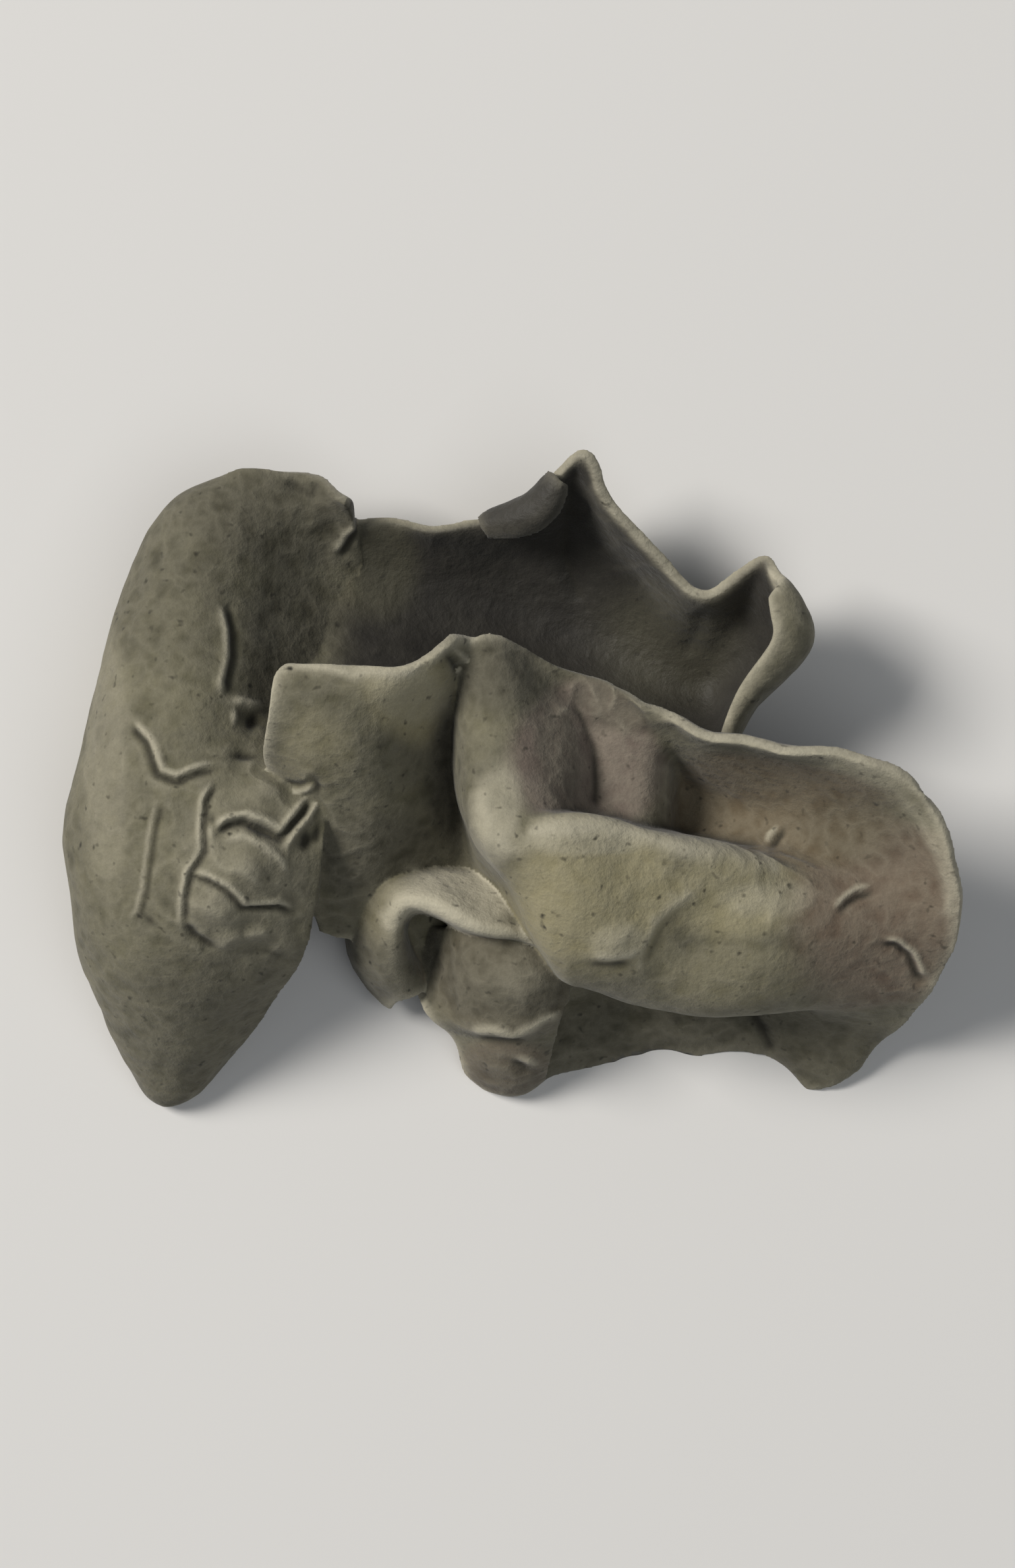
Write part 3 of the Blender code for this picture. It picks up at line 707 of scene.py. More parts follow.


# ------------------------------------------------------------------------- marks on each of the lobes

# The wrinkled patch where the mushroom was attached; the ear, the frill and the knot share it.
# The last number of each crease paints its line, here and in the tables below: below 0 dark, as painted
# shade in its groove; above 0 pale, partly as a painted highlight.
ATTACHMENT_CREASES = (
    Fold(((-19.4, 2.75), (-18.6, 1.85), (-18.05, 0.28), (-17.15, -0.15), (-16.2, 0.28), (-15.3, 0.46)),
         0.26, 0.2, 0.8),
    Crease(((-17.3, -0.05), (-16.5, -0.1)), -0.2, 0.3, -0.9),
    Fold(((-19.5, -7.2), (-18.95, -6.6), (-18.6, -5.4), (-18.35, -3.7), (-18.1, -2.3), (-17.75, -1.05)),
         0.10, 0.15, 0.5),
    Crease(((-19.1, -6.6), (-18.0, -7.35)), -0.22, 0.22, -0.5),
    Fold(((-16.8, -7.1), (-16.7, -5.9), (-16.4, -4.6), (-15.7, -3.5), (-15.75, -2.3), (-15.7, -1.15),
          (-15.2, -0.2)), 0.20, 0.16, 0.65),
    Crease(((-14.7, 1.15), (-13.15, 1.0)), -0.34, 0.2, -1.0),
    Fold(((-10.05, 0.55), (-10.35, 0.38), (-10.9, 0.12), (-11.95, 0.12), (-12.3, 0.45), (-12.6, 0.8)),
         0.22, 0.2, 0.9),
    Crease(((-10.1, 0.65), (-9.98, 0.1), (-9.95, -0.5)), -0.4, 0.2, -1.0),
    Fold(((-15.2, -2.7), (-14.6, -2.25), (-13.9, -2.1), (-12.9, -2.5), (-12.2, -2.95), (-11.6, -2.2),
          (-10.75, -1.25)), 0.40, 0.2, 1.0),
    Crease(((-13.9, -2.3), (-12.9, -2.65), (-12.3, -2.95)), -0.3, 0.3, -1.0),
    Crease(((-14.9, -3.05), (-14.0, -2.75), (-13.0, -3.15), (-12.3, -3.8), (-11.9, -4.6)),
           0.16, 0.16, 0.6),
    Crease(((-12.15, -3.4), (-11.8, -2.85), (-10.85, -1.8), (-10.3, -0.95)), 0.24, 0.13, 0.75),
    Crease(((-15.6, -2.0), (-15.3, -3.1)), 0.14, 0.14, 0.5),
    Crease(((-11.15, -2.4), (-10.9, -3.0), (-11.0, -3.8)), -0.5, 0.35, -1.0),
    Crease(((-10.4, -2.0), (-10.4, -3.4)), -0.3, 0.2, -0.8),
    Crease(((-15.45, -1.4), (-15.35, -2.6)), -0.2, 0.2, -0.7),
    Fold(((-16.4, -4.75), (-15.7, -4.85), (-14.85, -5.25), (-14.4, -5.7), (-14.1, -6.15), (-13.4, -6.2),
          (-12.4, -6.15), (-11.7, -6.5)), 0.28, 0.17, 0.85),
    Crease(((-16.8, -6.85), (-16.4, -7.6), (-15.3, -8.35)), -0.40, 0.24, -0.9),
    Crease(((-15.3, -8.4), (-14.2, -8.5), (-13.0, -8.4), (-12.0, -8.7)), -0.08, 0.16, -0.35),
    Crease(((-14.2, -6.9), (-14.1, -7.9)), -0.14, 0.15, -0.45),
    Crease(((-17.0, -0.9), (-17.5, -2.2), (-17.4, -3.6)), -0.05, 0.2, -0.2),
    Crease(((-13.6, -3.6), (-12.9, -4.5), (-12.7, -5.3)), -0.06, 0.16, -0.3),
    Crease(((-17.9, -4.4), (-17.2, -5.0), (-16.8, -5.2)), -0.06, 0.16, -0.3),
)

ATTACHMENT_BULGES = (
    Bulge((-13.2, -0.85), (1.0, 0.55), 0.3),
    Bulge((-13.7, -4.1), (1.2, 0.9), 0.5),
    Bulge((-15.3, -6.15), (0.9, 0.8), 0.32),
    Bulge((-14.8, -7.7), (0.7, 0.5), 0.22),
    Bulge((-13.4, -7.5), (0.7, 0.5), 0.25),
    Bulge((-12.2, -7.9), (0.6, 0.6), 0.22),
)

EAR_CREASES = (
    Fold(((-15.1, 4.1), (-15.2, 4.9), (-14.96, 6.2), (-14.96, 7.6), (-15.1, 9.0)), 0.24, 0.22, 0.55),
    Crease(((-15.1, 4.0), (-14.3, 3.75), (-13.15, 3.5)), 0.34, 0.24, 1.4),
    Crease(((-14.85, 3.7), (-14.65, 2.4)), 0.26, 0.2, 1.0),
    Crease(((-14.2, 3.0), (-13.2, 2.75)), -0.55, 0.36, -1.4),
    Fold(((-9.5, 11.8), (-8.75, 12.9), (-7.7, 13.85), (-6.7, 14.5)), 0.25, 0.22, 0.8),
    Crease(((-12.2, 15.6), (-10.7, 14.9), (-10.0, 15.5)), -0.3, 0.3, -0.4),
)

# The dark zones on the ear are painted shade and its pale zones painted light; the others shape crumples
# and dull the rim.
EAR_ZONES = (
    Zone(Channel.DUSK, (-12.0, 7.6), (2.9, 5.6), 0.75, edge=(0.5, 1.1)),
    Zone(Channel.DUSK, (-17.0, -13.5), (5.4, 5.4), 0.35),
    Zone(Channel.DUSK, (-18.0, 9.4), (3.4, 4.4), 0.35),
    Zone(Channel.DUSK, (-11.7, 16.2), (1.0, 0.8), 0.8),
    Zone(Channel.PALE, (-20.6, 1.0), (1.3, 7.5), 0.2),
    Zone(Channel.PALE, (-14.2, -4.6), (3.6, 4.6), 0.15),
    Zone(Channel.CRUMPLE, (-14.6, -3.6), (4.6, 6.2), 0.4),
    Zone(Channel.CRUMPLE, (-11.4, 13.6), (4.0, 2.6), 0.3),
    Zone(Channel.DUSK, (-12.6, 13.4), (5.6, 3.0), 0.75),
    Zone(Channel.DUSK, (-9.2, 14.2), (2.2, 1.9), 0.9),
    Zone(Channel.DULL_RIM, (-19.0, 0.0), (9.0, 40.0), 1.0),
    Zone(Channel.DULL_RIM, (-9.6, 14.4), (3.4, 3.0), 0.85),
)

FRILL_CREASES = (
    Crease(((0.3, -2.75), (2.0, -2.5), (4.0, -2.4), (5.5, -2.6), (7.0, -3.05), (8.5, -3.45),
            (10.5, -3.8), (12.5, -4.4), (13.4, -5.0)), 0.05, 0.26, 1.1, stations=(4.5, 6.4)),
    Crease(((1.2, -2.1), (3.0, -1.95), (5.0, -2.05), (7.0, -2.6), (8.6, -3.0), (10.5, -3.3),
            (12.6, -3.8)), -0.1, 0.3, -0.9, stations=(2.6, 4.8)),
    Crease(((3.95, -1.6), (3.95, 0.2), (3.85, 1.6), (3.2, 3.2), (2.6, 4.9)), -0.3, 0.4, -0.4,
           stations=(-1.0, 4.4)),
    Crease(((7.2, -2.6), (7.15, -0.6), (7.3, 1.2)), 0.1, 0.3, 0.35, stations=(0.6, 4.4)),
    Fold(((13.05, -3.85), (14.05, -2.55)), 0.26, 0.2, 0.9, stations=(2.0, 5.5)),
    Fold(((16.1, -6.9), (16.8, -6.3), (17.4, -6.0), (18.3, -5.85)), 0.22, 0.2, 0.7, stations=(4.0, 7.6)),
    Fold(((18.5, -8.25), (19.4, -8.4), (20.1, -8.95), (20.6, -9.9), (21.2, -10.1)), 0.28, 0.2, 0.7,
         stations=(5.0, 9.0)),
    Crease(((6.1, -9.6), (6.2, -8.4), (6.8, -7.0), (7.8, -6.1), (9.0, -5.4)), 0.16, 0.4, 0.45,
           stations=(5.6, 8.4)),
    Crease(((6.5, -9.4), (6.7, -8.3), (7.4, -7.1), (8.4, -6.4)), -0.1, 0.35, -0.25, stations=(5.6, 8.4)),
    Crease(((3.6, -8.3), (4.6, -8.45), (5.6, -8.4), (6.1, -8.0)), 0.2, 0.28, 0.6, stations=(6.0, 8.4)),
    Crease(((3.4, -8.9), (4.6, -9.0), (5.8, -8.9)), -0.16, 0.28, -0.5, stations=(6.0, 8.4)),
    Crease(((6.3, -3.9), (8.6, -4.9), (11.6, -5.4), (13.7, -6.2)), 0.1, 0.9, 0.25, stations=(5.0, 7.6)),
    Crease(((12.2, -11.6), (13.0, -12.8), (13.9, -14.4)), -0.4, 0.4, -0.7, stations=(8.6, 11.0)),
    Crease(((-12.75, 1.6), (-12.75, 2.4), (-12.5, 3.6), (-12.25, 4.9), (-11.9, 5.4), (-11.2, 5.6),
            (-10.2, 5.62), (-9.2, 5.5), (-8.2, 5.2), (-7.4, 5.35), (-6.2, 5.4), (-5.4, 5.65),
            (-4.7, 6.35), (-3.8, 6.65)), 0.06, 0.2, 0.9, stations=(-1.0, 4.0), sections=(-1.0, 3.2)),
    Crease(((-2.95, 4.8), (-3.15, 5.5), (-3.4, 6.1), (-3.8, 6.5)), -0.3, 0.2, -0.8,
           stations=(-1.0, 2.2)),
    Crease(((-2.55, 5.2), (-2.7, 5.9), (-3.0, 6.5), (-3.4, 6.8)), 0.25, 0.18, 0.8, stations=(-1.0, 2.2)),
    Crease(((-5.2, -2.5), (-4.7, -2.8)), -0.25, 0.3, -0.5, stations=(4.0, 8.0)),
    Crease(((-6.4, -4.1), (-5.4, -4.3), (-4.5, -4.9)), 0.15, 0.3, 0.25, stations=(4.0, 9.0)),
    Crease(((9.3, 2.1), (12.0, 2.2), (15.0, 1.5), (17.0, 1.0), (19.0, 0.0), (20.7, -1.8), (21.9, -4.0),
            (22.3, -7.0)), 0.04, 0.4, 0.6, stations=(-1.0, 10.0)),
    Crease(((-1.7, -0.2), (-1.55, -1.4), (-1.1, -2.6), (-0.2, -3.2), (0.7, -3.5)), 0.06, 0.35, 0.5,
           stations=(3.0, 7.0)),
)

FRILL_BULGES = (
    Bulge((3.0, -5.6), (2.0, 2.2), 0.55, stations=(5.4, 8.4)),
    Bulge((4.9, -7.7), (1.1, 0.9), 0.4, stations=(5.8, 8.4)),
    Bulge((8.5, -7.8), (1.9, 1.6), -0.3, stations=(5.8, 8.4)),
    Bulge((12.0, -8.4), (2.2, 1.8), 0.3, stations=(5.8, 8.4)),
    Bulge((2.2, 1.4), (1.1, 3.0), 0.25, stations=(0.0, 4.4)),
    Bulge((-10.4, 1.4), (1.3, 1.3), 0.3, stations=(1.5, 6.0)),
)

# On the frill the dark zones are painted shade, the pale and olive zones painted light, the brown zone
# brown tone with painted shade and the purple zone purple-grey tone with painted light.
FRILL_ZONES = (
    Zone(Channel.PURPLE, (3.4, 0.9), (4.2, 4.6), 1.0, stations=(-1.0, 4.6), edge=(0.8, 1.05)),
    Zone(Channel.BROWN, (13.2, -1.4), (6.4, 4.4), 1.0, stations=(0.5, 4.7), edge=(0.75, 1.1)),
    Zone(Channel.ROSY, (18.6, -6.4), (5.4, 6.0), 0.9, stations=(1.6, 8.4)),
    Zone(Channel.DUSK, (17.6, -2.4), (3.4, 2.4), 0.35, stations=(0.6, 4.6)),
    Zone(Channel.OLIVE, (4.2, -5.4), (4.6, 4.4), 1.0, stations=(4.8, 8.4)),
    Zone(Channel.OLIVE, (11.0, -9.6), (4.4, 1.8), 0.35, stations=(5.8, 8.8)),
    Zone(Channel.OLIVE, (10.6, -5.6), (4.8, 2.4), 0.9, stations=(4.8, 7.8)),
    Zone(Channel.PALE, (4.9, -7.7), (1.5, 1.0), 0.35, stations=(5.8, 8.4)),
    Zone(Channel.OLIVE, (-5.4, 4.4), (2.4, 2.6), 1.0, stations=(-1.0, 3.2)),
    Zone(Channel.OLIVE, (-10.2, 1.8), (2.0, 2.2), 0.25),
    Zone(Channel.PALE, (-5.6, 4.6), (2.0, 1.6), 0.3, stations=(-1.0, 3.2)),
    Zone(Channel.DUSK, (6.0, 4.0), (3.4, 1.6), 0.6, stations=(-1.0, 2.2)),
    Zone(Channel.DUSK, (-3.5, 0.4), (1.7, 5.0), 1.0, sections=(1.6, 3.7)),
    Zone(Channel.DUSK, (-7.4, -3.6), (4.0, 2.6), 0.7),
    Zone(Channel.DUSK, (-0.6, 5.4), (2.8, 2.6), 0.9, stations=(-1.0, 3.2), edge=(0.4, 1.15)),
    Zone(Channel.PALE, (12.6, -6.0), (2.6, 1.0), 0.35, stations=(5.4, 8.0)),
    Zone(Channel.PALE, (3.4, -3.0), (3.2, 0.7), 0.5, stations=(4.6, 6.6)),
    Zone(Channel.DUSK, (9.0, -13.6), (11.5, 3.2), 0.7, stations=(8.4, 11.0)),
    Zone(Channel.PALE, (-0.9, -1.6), (1.1, 2.8), 0.45, sections=(3.6, 5.6), stations=(1.4, 7.0)),
    Zone(Channel.DUSK, (1.7, 1.6), (1.2, 4.2), 0.45, sections=(4.6, 6.8), stations=(-1.0, 4.4)),
    Zone(Channel.CRUMPLE, (5.4, 4.0), (4.6, 1.7), 0.8, stations=(-1.0, 2.2)),
    Zone(Channel.CRUMPLE, (-10.0, -3.6), (2.4, 4.6), 0.4),
    Zone(Channel.CRUMPLE, (13.0, -5.4), (3.4, 2.4), 0.3, stations=(3.0, 8.0)),
    Zone(Channel.DULL_RIM, (3.6, 5.4), (6.0, 3.0), 1.0, stations=(-1.0, 3.0)),
    Zone(Channel.DULL_RIM, (0.0, -14.0), (30.0, 5.0), 0.7, stations=(8.0, 11.0)),
    Zone(Channel.DULL_RIM, (-11.0, -6.0), (2.0, 7.0), 0.9),
)

CROWN_CREASES = (
    Crease(((3.1, 16.6), (2.6, 14.5), (2.5, 12.0), (3.4, 9.5)), -0.3, 0.5, -0.4),
    Crease(((3.9, 15.9), (4.4, 14.4), (5.4, 12.7), (7.0, 11.1), (8.9, 9.4)), 0.0, 0.8, 0.42),
    Crease(((9.8, 9.6), (9.6, 8.4), (9.0, 6.8)), -0.25, 0.45, -0.2),
)

# The crown's pale and olive zones are painted light.
CROWN_ZONES = (
    Zone(Channel.PALE, (13.6, 7.2), (4.0, 5.5), 1.0, sections=(8.9, 12.0), edge=(0.9, 1.1)),
    Zone(Channel.OLIVE, (8.2, 7.4), (4.4, 4.4), 0.55, sections=(0.0, 8.6), edge=(0.4, 1.2)),
    Zone(Channel.OLIVE, (-7.6, 12.0), (2.6, 4.0), 0.8),
    Zone(Channel.DULL_RIM, (-6.0, 13.5), (8.0, 3.0), 0.8),
    Zone(Channel.DULL_RIM, (12.4, 11.4), (1.6, 1.4), 0.6),
)

CUFF_ZONES = (
    Zone(Channel.DULL_RIM, (0.4, 14.2), (4.0, 3.4), 0.7, edge=(0.8, 1.2)),
)

HOOD_CREASES = (
    Crease(((-6.6, -7.7), (-6.35, -6.9), (-5.9, -6.35), (-5.0, -6.15), (-4.0, -6.45), (-3.0, -6.85),
            (-2.0, -7.4), (-1.0, -7.75), (0.3, -7.95), (1.2, -8.65)), 0.03, 0.26, 1.6,
           stations=(1.6, 3.8)),
    Crease(((-6.1, -8.2), (-6.0, -7.4), (-5.5, -6.85), (-4.8, -6.7), (-4.0, -7.0), (-3.2, -7.4)),
           -0.05, 0.16, -0.8, stations=(3.0, 5.0)),
)

# The hood's pale and olive zones are painted light, its dark zone painted shade and its brown zone brown
# tone with painted shade.
HOOD_ZONES = (
    Zone(Channel.PALE, (-3.0, -6.2), (3.4, 1.6), 1.0),
    Zone(Channel.OLIVE, (-6.8, -6.6), (1.6, 2.0), 0.3),
    Zone(Channel.DUSK, (-7.4, -9.8), (2.0, 2.4), 0.5),
    Zone(Channel.BROWN, (-3.0, -9.6), (3.0, 3.4), 0.8, stations=(3.8, 6.0)),
)

TONGUE_CREASES = (
    Crease(((-2.3, -12.55), (-1.0, -12.6), (-0.2, -12.8), (0.6, -12.4), (1.2, -12.0), (2.1, -11.7)),
           0.16, 0.18, 0.9, sections=(2.6, 5.0)),
    Crease(((-2.0, -13.15), (-0.6, -13.2), (0.6, -13.1)), -0.25, 0.3, -0.6, sections=(3.4, 6.0)),
    Fold(((-0.4, -14.5), (0.2, -14.8), (0.9, -15.2)), 0.3, 0.3, 0.6, sections=(4.6, 6.8)),
    Crease(((-5.1, -11.4), (-4.15, -12.2), (-3.3, -13.2), (-2.8, -14.0), (-2.3, -15.3)), 0.1, 0.25, 0.5),
)

TONGUE_BULGES = (Bulge((0.4, -10.2), (1.7, 1.4), 0.25),)

# The tongue's dark zones are painted shade and its brown zone brown tone with painted shade.
TONGUE_ZONES = (
    Zone(Channel.BROWN, (-0.6, -10.2), (3.8, 3.0), 0.7),
    Zone(Channel.DUSK, (-0.6, -10.2), (3.8, 3.0), 0.85),
    Zone(Channel.ROSY, (-0.6, -15.0), (2.6, 2.0), 0.7),
    Zone(Channel.DUSK, (-0.6, -15.6), (2.6, 2.0), 0.5),
    Zone(Channel.DUSK, (-4.6, -9.4), (1.1, 2.6), 0.9),
)


# ---------------------------------------------------------------------------------- the fruit body


@dataclass
class FruitBody:
    """The whole mushroom: every lobe, grown together into one skin that rests on the table.

    The lobes' shells are merged on a grid of `voxel` mm, smoothed and thinned.
    """

    voxel: float = 0.125
    smooth_passes: int = 2
    most_triangles: int = 194_000

    def lobes(self) -> tuple[Sheet, ...]:
        """The lobes with their own wrinkles and tints."""
        return (
            Sheet("ear", EAR, free=(True, True, True, False), thickness=1.1, seed=21,
                  creases=ATTACHMENT_CREASES + EAR_CREASES, bulges=ATTACHMENT_BULGES, zones=EAR_ZONES),
            Sheet("frill", FRILL, seed=31, creases=ATTACHMENT_CREASES + FRILL_CREASES,
                  bulges=ATTACHMENT_BULGES + FRILL_BULGES, zones=FRILL_ZONES),
            Sheet("crown", CROWN, upper=Facing.INNER, free=(False, True, False, True), seed=41,
                  creases=CROWN_CREASES, zones=CROWN_ZONES, fade_inner=(-11.0, -8.0)),
            Sheet("cuff", CUFF, upper=Facing.INNER, free=(True, True, False, True), thickness=0.5,
                  seed=51, zones=CUFF_ZONES, relief_share=0.2),
            Sheet("hood", HOOD, free=(True, False, False, False), thickness=0.55, seed=91,
                  creases=HOOD_CREASES, zones=HOOD_ZONES),
            Sheet("tongue", TONGUE, free=(False, True, True, False), seed=61,
                  creases=TONGUE_CREASES, bulges=TONGUE_BULGES, zones=TONGUE_ZONES),
            Sheet("knot", KNOT, free=(False,) * 4, thickness=1.4, seed=71, creases=ATTACHMENT_CREASES,
                  bulges=ATTACHMENT_BULGES),
        )

    def raw_mesh(self) -> bpy.types.Mesh:
        """All shells in one mesh, in metres, with their looks in three colour attributes."""
        shells = [lobe.shell() for lobe in self.lobes()]
        starts = np.cumsum([0] + [len(shell.points) for shell in shells[:-1]])
        points = (np.concatenate([shell.points for shell in shells]) + CENTRE_SHIFT) * MM
        faces = np.concatenate([shell.faces + start for shell, start in zip(shells, starts)])
        looks = np.concatenate([shell.looks for shell in shells])
        mesh = bpy.data.meshes.new("lobes")
        mesh.from_pydata(points, [], faces)
        for name, columns in zip(ATTRIBUTES, np.split(looks, len(ATTRIBUTES), axis=1)):
            attribute = mesh.attributes.new(name, "FLOAT_COLOR", "POINT")
            attribute.data.foreach_set("color", columns.astype(np.float32).ravel())
        face_out(mesh)
        return mesh

    def build(self) -> bpy.types.Object:
        """The finished piece.

        Returns:
            The object, linked to the scene, at the origin.
        """
        source = link(bpy.data.objects.new("lobes", self.raw_mesh()))
        skin = link(bpy.data.objects.new("skin", source.data.copy()))
        remesh = skin.modifiers.new("skin", "REMESH")
        remesh.mode = "VOXEL"
        remesh.voxel_size = self.voxel * MM
        soften = skin.modifiers.new("soften", "SMOOTH")
        soften.factor = 0.5
        soften.iterations = self.smooth_passes
        settle(skin)
        skin.data.calc_loop_triangles()
        lighten = skin.modifiers.new("lighten", "DECIMATE")
        lighten.ratio = min(1.0, self.most_triangles / len(skin.data.loop_triangles))
        settle(skin)
        self.rest_on_table(skin.data)
        self.carry_looks(source, skin)
        bpy.data.objects.remove(source)
        skin.name = skin.data.name = "fruit_body"
        skin.data.shade_smooth()
        return skin

    def rest_on_table(self, mesh: bpy.types.Mesh) -> None:
        """Cuts off what is below the table and closes the cut."""
        cutter = bmesh.new()
        cutter.from_mesh(mesh)
        everything = cutter.verts[:] + cutter.edges[:] + cutter.faces[:]
        bmesh.ops.bisect_plane(cutter, geom=everything, plane_no=(0, 0, 1), clear_inner=True)
        open_edges = [edge for edge in cutter.edges if edge.is_boundary]
        caps = bmesh.ops.holes_fill(cutter, edges=open_edges, sides=0)["faces"]
        bmesh.ops.triangulate(cutter, faces=caps)
        cutter.to_mesh(mesh)
        cutter.free()

    def carry_looks(self, source: bpy.types.Object, skin: bpy.types.Object) -> None:
        """Carries the looks from the nearest face of the lobes to the skin."""
        for name in ATTRIBUTES:
            if name not in skin.data.attributes:
                skin.data.attributes.new(name, "FLOAT_COLOR", "POINT")
        carry = skin.modifiers.new("carry", "DATA_TRANSFER")
        carry.object = source
        carry.use_vert_data = True
        carry.data_types_verts = {"COLOR_VERTEX"}
        carry.vert_mapping = "POLYINTERP_NEAREST"
        settle(skin)


def link(obj: bpy.types.Object) -> bpy.types.Object:
    """Puts the object in the scene and returns it."""
    bpy.context.scene.collection.objects.link(obj)
    return obj


def settle(obj: bpy.types.Object) -> None:
    """Applies every modifier by replacing the mesh with the evaluated one."""
    graph = bpy.context.evaluated_depsgraph_get()
    fresh = bpy.data.meshes.new_from_object(obj.evaluated_get(graph), depsgraph=graph)
    obj.modifiers.clear()
    old, obj.data = obj.data, fresh
    bpy.data.meshes.remove(old)


def face_out(mesh: bpy.types.Mesh) -> None:
    """Merges doubled points and turns every face outwards."""
    shape = bmesh.new()
    shape.from_mesh(mesh)
    bmesh.ops.remove_doubles(shape, verts=shape.verts, dist=1e-7)
    bmesh.ops.recalc_face_normals(shape, faces=shape.faces)
    shape.to_mesh(mesh)
    shape.free()


# ------------------------------------------------------------------------------------------ finishes


class Wire:
    """A shader socket that can be used in a Python expression; each operation adds a Math node."""

    def __init__(self, tree: bpy.types.NodeTree, socket: bpy.types.NodeSocket) -> None:
        """Keeps the node tree and the socket."""
        self.tree = tree
        self.socket = socket

    def math(self, operation: str, *values: "Wire | float") -> "Wire":
        """A Math node of this operation.

        Args:
            operation: The Math node's operation.
            values: What goes into it, in order.

        Returns:
            The node's result.
        """
        return add_node(self.tree, "ShaderNodeMath", {"operation": operation}, dict(enumerate(values)))

    def __add__(self, other: "Wire | float") -> "Wire":
        """self + other."""
        return self.math("ADD", self, other)

    def __radd__(self, other: float) -> "Wire":
        """other + self."""
        return self.math("ADD", self, other)

    def __sub__(self, other: "Wire | float") -> "Wire":
        """self - other."""
        return self.math("SUBTRACT", self, other)

    def __rsub__(self, other: float) -> "Wire":
        """other - self."""
        return self.math("SUBTRACT", other, self)

    def __mul__(self, other: "Wire | float") -> "Wire":
        """self * other."""
        return self.math("MULTIPLY", self, other)

    def __rmul__(self, other: float) -> "Wire":
        """other * self."""
        return self.math("MULTIPLY", self, other)

    def clamp(self) -> "Wire":
        """The value kept between 0 and 1."""
        return self.math("MAXIMUM", self.math("MINIMUM", self, 1.0), 0.0)

    def size(self) -> "Wire":
        """The value without its sign."""
        return self.math("ABSOLUTE", self)


def add_node(tree: bpy.types.NodeTree, kind: str, settings: dict[str, object],
             sockets: dict[str | int, object], output: int | str = 0) -> Wire:
    """Adds one node.

    Args:
        tree: The node tree.
        kind: The node's type.
        settings: Its properties, set first.
        sockets: Its inputs by name or number, each a Wire or a value.
        output: The output that is wanted.

    Returns:
        That output.
    """
    node = tree.nodes.new(kind)
    for name, value in settings.items():
        setattr(node, name, value)
    for key, value in sockets.items():
        if isinstance(value, Wire):
            tree.links.new(value.socket, node.inputs[key])
        else:
            node.inputs[key].default_value = value
    return Wire(tree, node.outputs[output])


@dataclass(frozen=True)
class Finish:
    """A material made with nodes: the parts that every finish here shares."""

    name: str

    def start(self) -> tuple[bpy.types.Material, bpy.types.NodeTree, bpy.types.ShaderNode]:
        """A new material with its tree and its Principled shader."""
        material = bpy.data.materials.new(self.name)
        material.use_nodes = True
        tree = material.node_tree
        return material, tree, tree.nodes["Principled BSDF"]

    def noise(self, tree: bpy.types.NodeTree, size: float, detail: float = 3.0, rough: float = 0.55,
              offset: Point = (0.0, 0.0, 0.0)) -> Wire:
        """Noise on Object coordinates.

        Args:
            tree: The node tree.
            size: The size of its spots in mm.
            detail: How many finer layers it has.
            rough: How strong they are.
            offset: Moves the pattern, in mm.

        Returns:
            Values around 0.5.
        """
        place = add_node(tree, "ShaderNodeTexCoord", {}, {}, "Object")
        shift = tuple(value * MM for value in offset)
        moved = add_node(tree, "ShaderNodeMapping", {}, {"Vector": place, "Location": shift})
        return add_node(tree, "ShaderNodeTexNoise", {"noise_dimensions": "3D"}, {
            "Vector": moved, "Scale": 1 / (size * MM), "Detail": detail, "Roughness": rough})

    def blend(self, tree: bpy.types.NodeTree, share: "Wire | float", low: "Wire | Colour",
              high: "Wire | Colour", how: str = "MIX") -> Wire:
        """Two colours mixed.

        Args:
            tree: The node tree.
            share: How much of the second colour there is.
            low: The colour at share 0.
            high: The colour at share 1.
            how: The way they mix.

        Returns:
            The mixed colour.
        """
        fixed = [value if isinstance(value, Wire) else (*value, 1.0) for value in (low, high)]
        settings = {"data_type": "RGBA", "blend_type": how, "clamp_factor": True}
        return add_node(tree, "ShaderNodeMix", settings, {0: share, 6: fixed[0], 7: fixed[1]}, 2)

    def looks(self, tree: bpy.types.NodeTree) -> dict[Channel, Wire]:
        """Every looks channel of the piece, read from its attributes."""
        found: dict[Channel, Wire] = {}
        for name in ATTRIBUTES:
            colour = add_node(tree, "ShaderNodeAttribute", {"attribute_name": name}, {}, "Color")
            alpha = Wire(tree, colour.socket.node.outputs["Alpha"])
            split = add_node(tree, "ShaderNodeSeparateColor", {}, {"Color": colour})
            outputs = [Wire(tree, socket) for socket in split.socket.node.outputs] + [alpha]
            held = [channel for channel in Channel if channel.value[0] == name]
            found.update({channel: outputs[channel.value[1]] for channel in held})
        return found


@dataclass(frozen=True)
class Patterns:
    """The noise patterns that the flesh's colour, gloss and bump share, each around 0.5."""

    mottle: Wire
    spots: Wire
    nap: Wire
    veins: Wire
    uneven: Wire


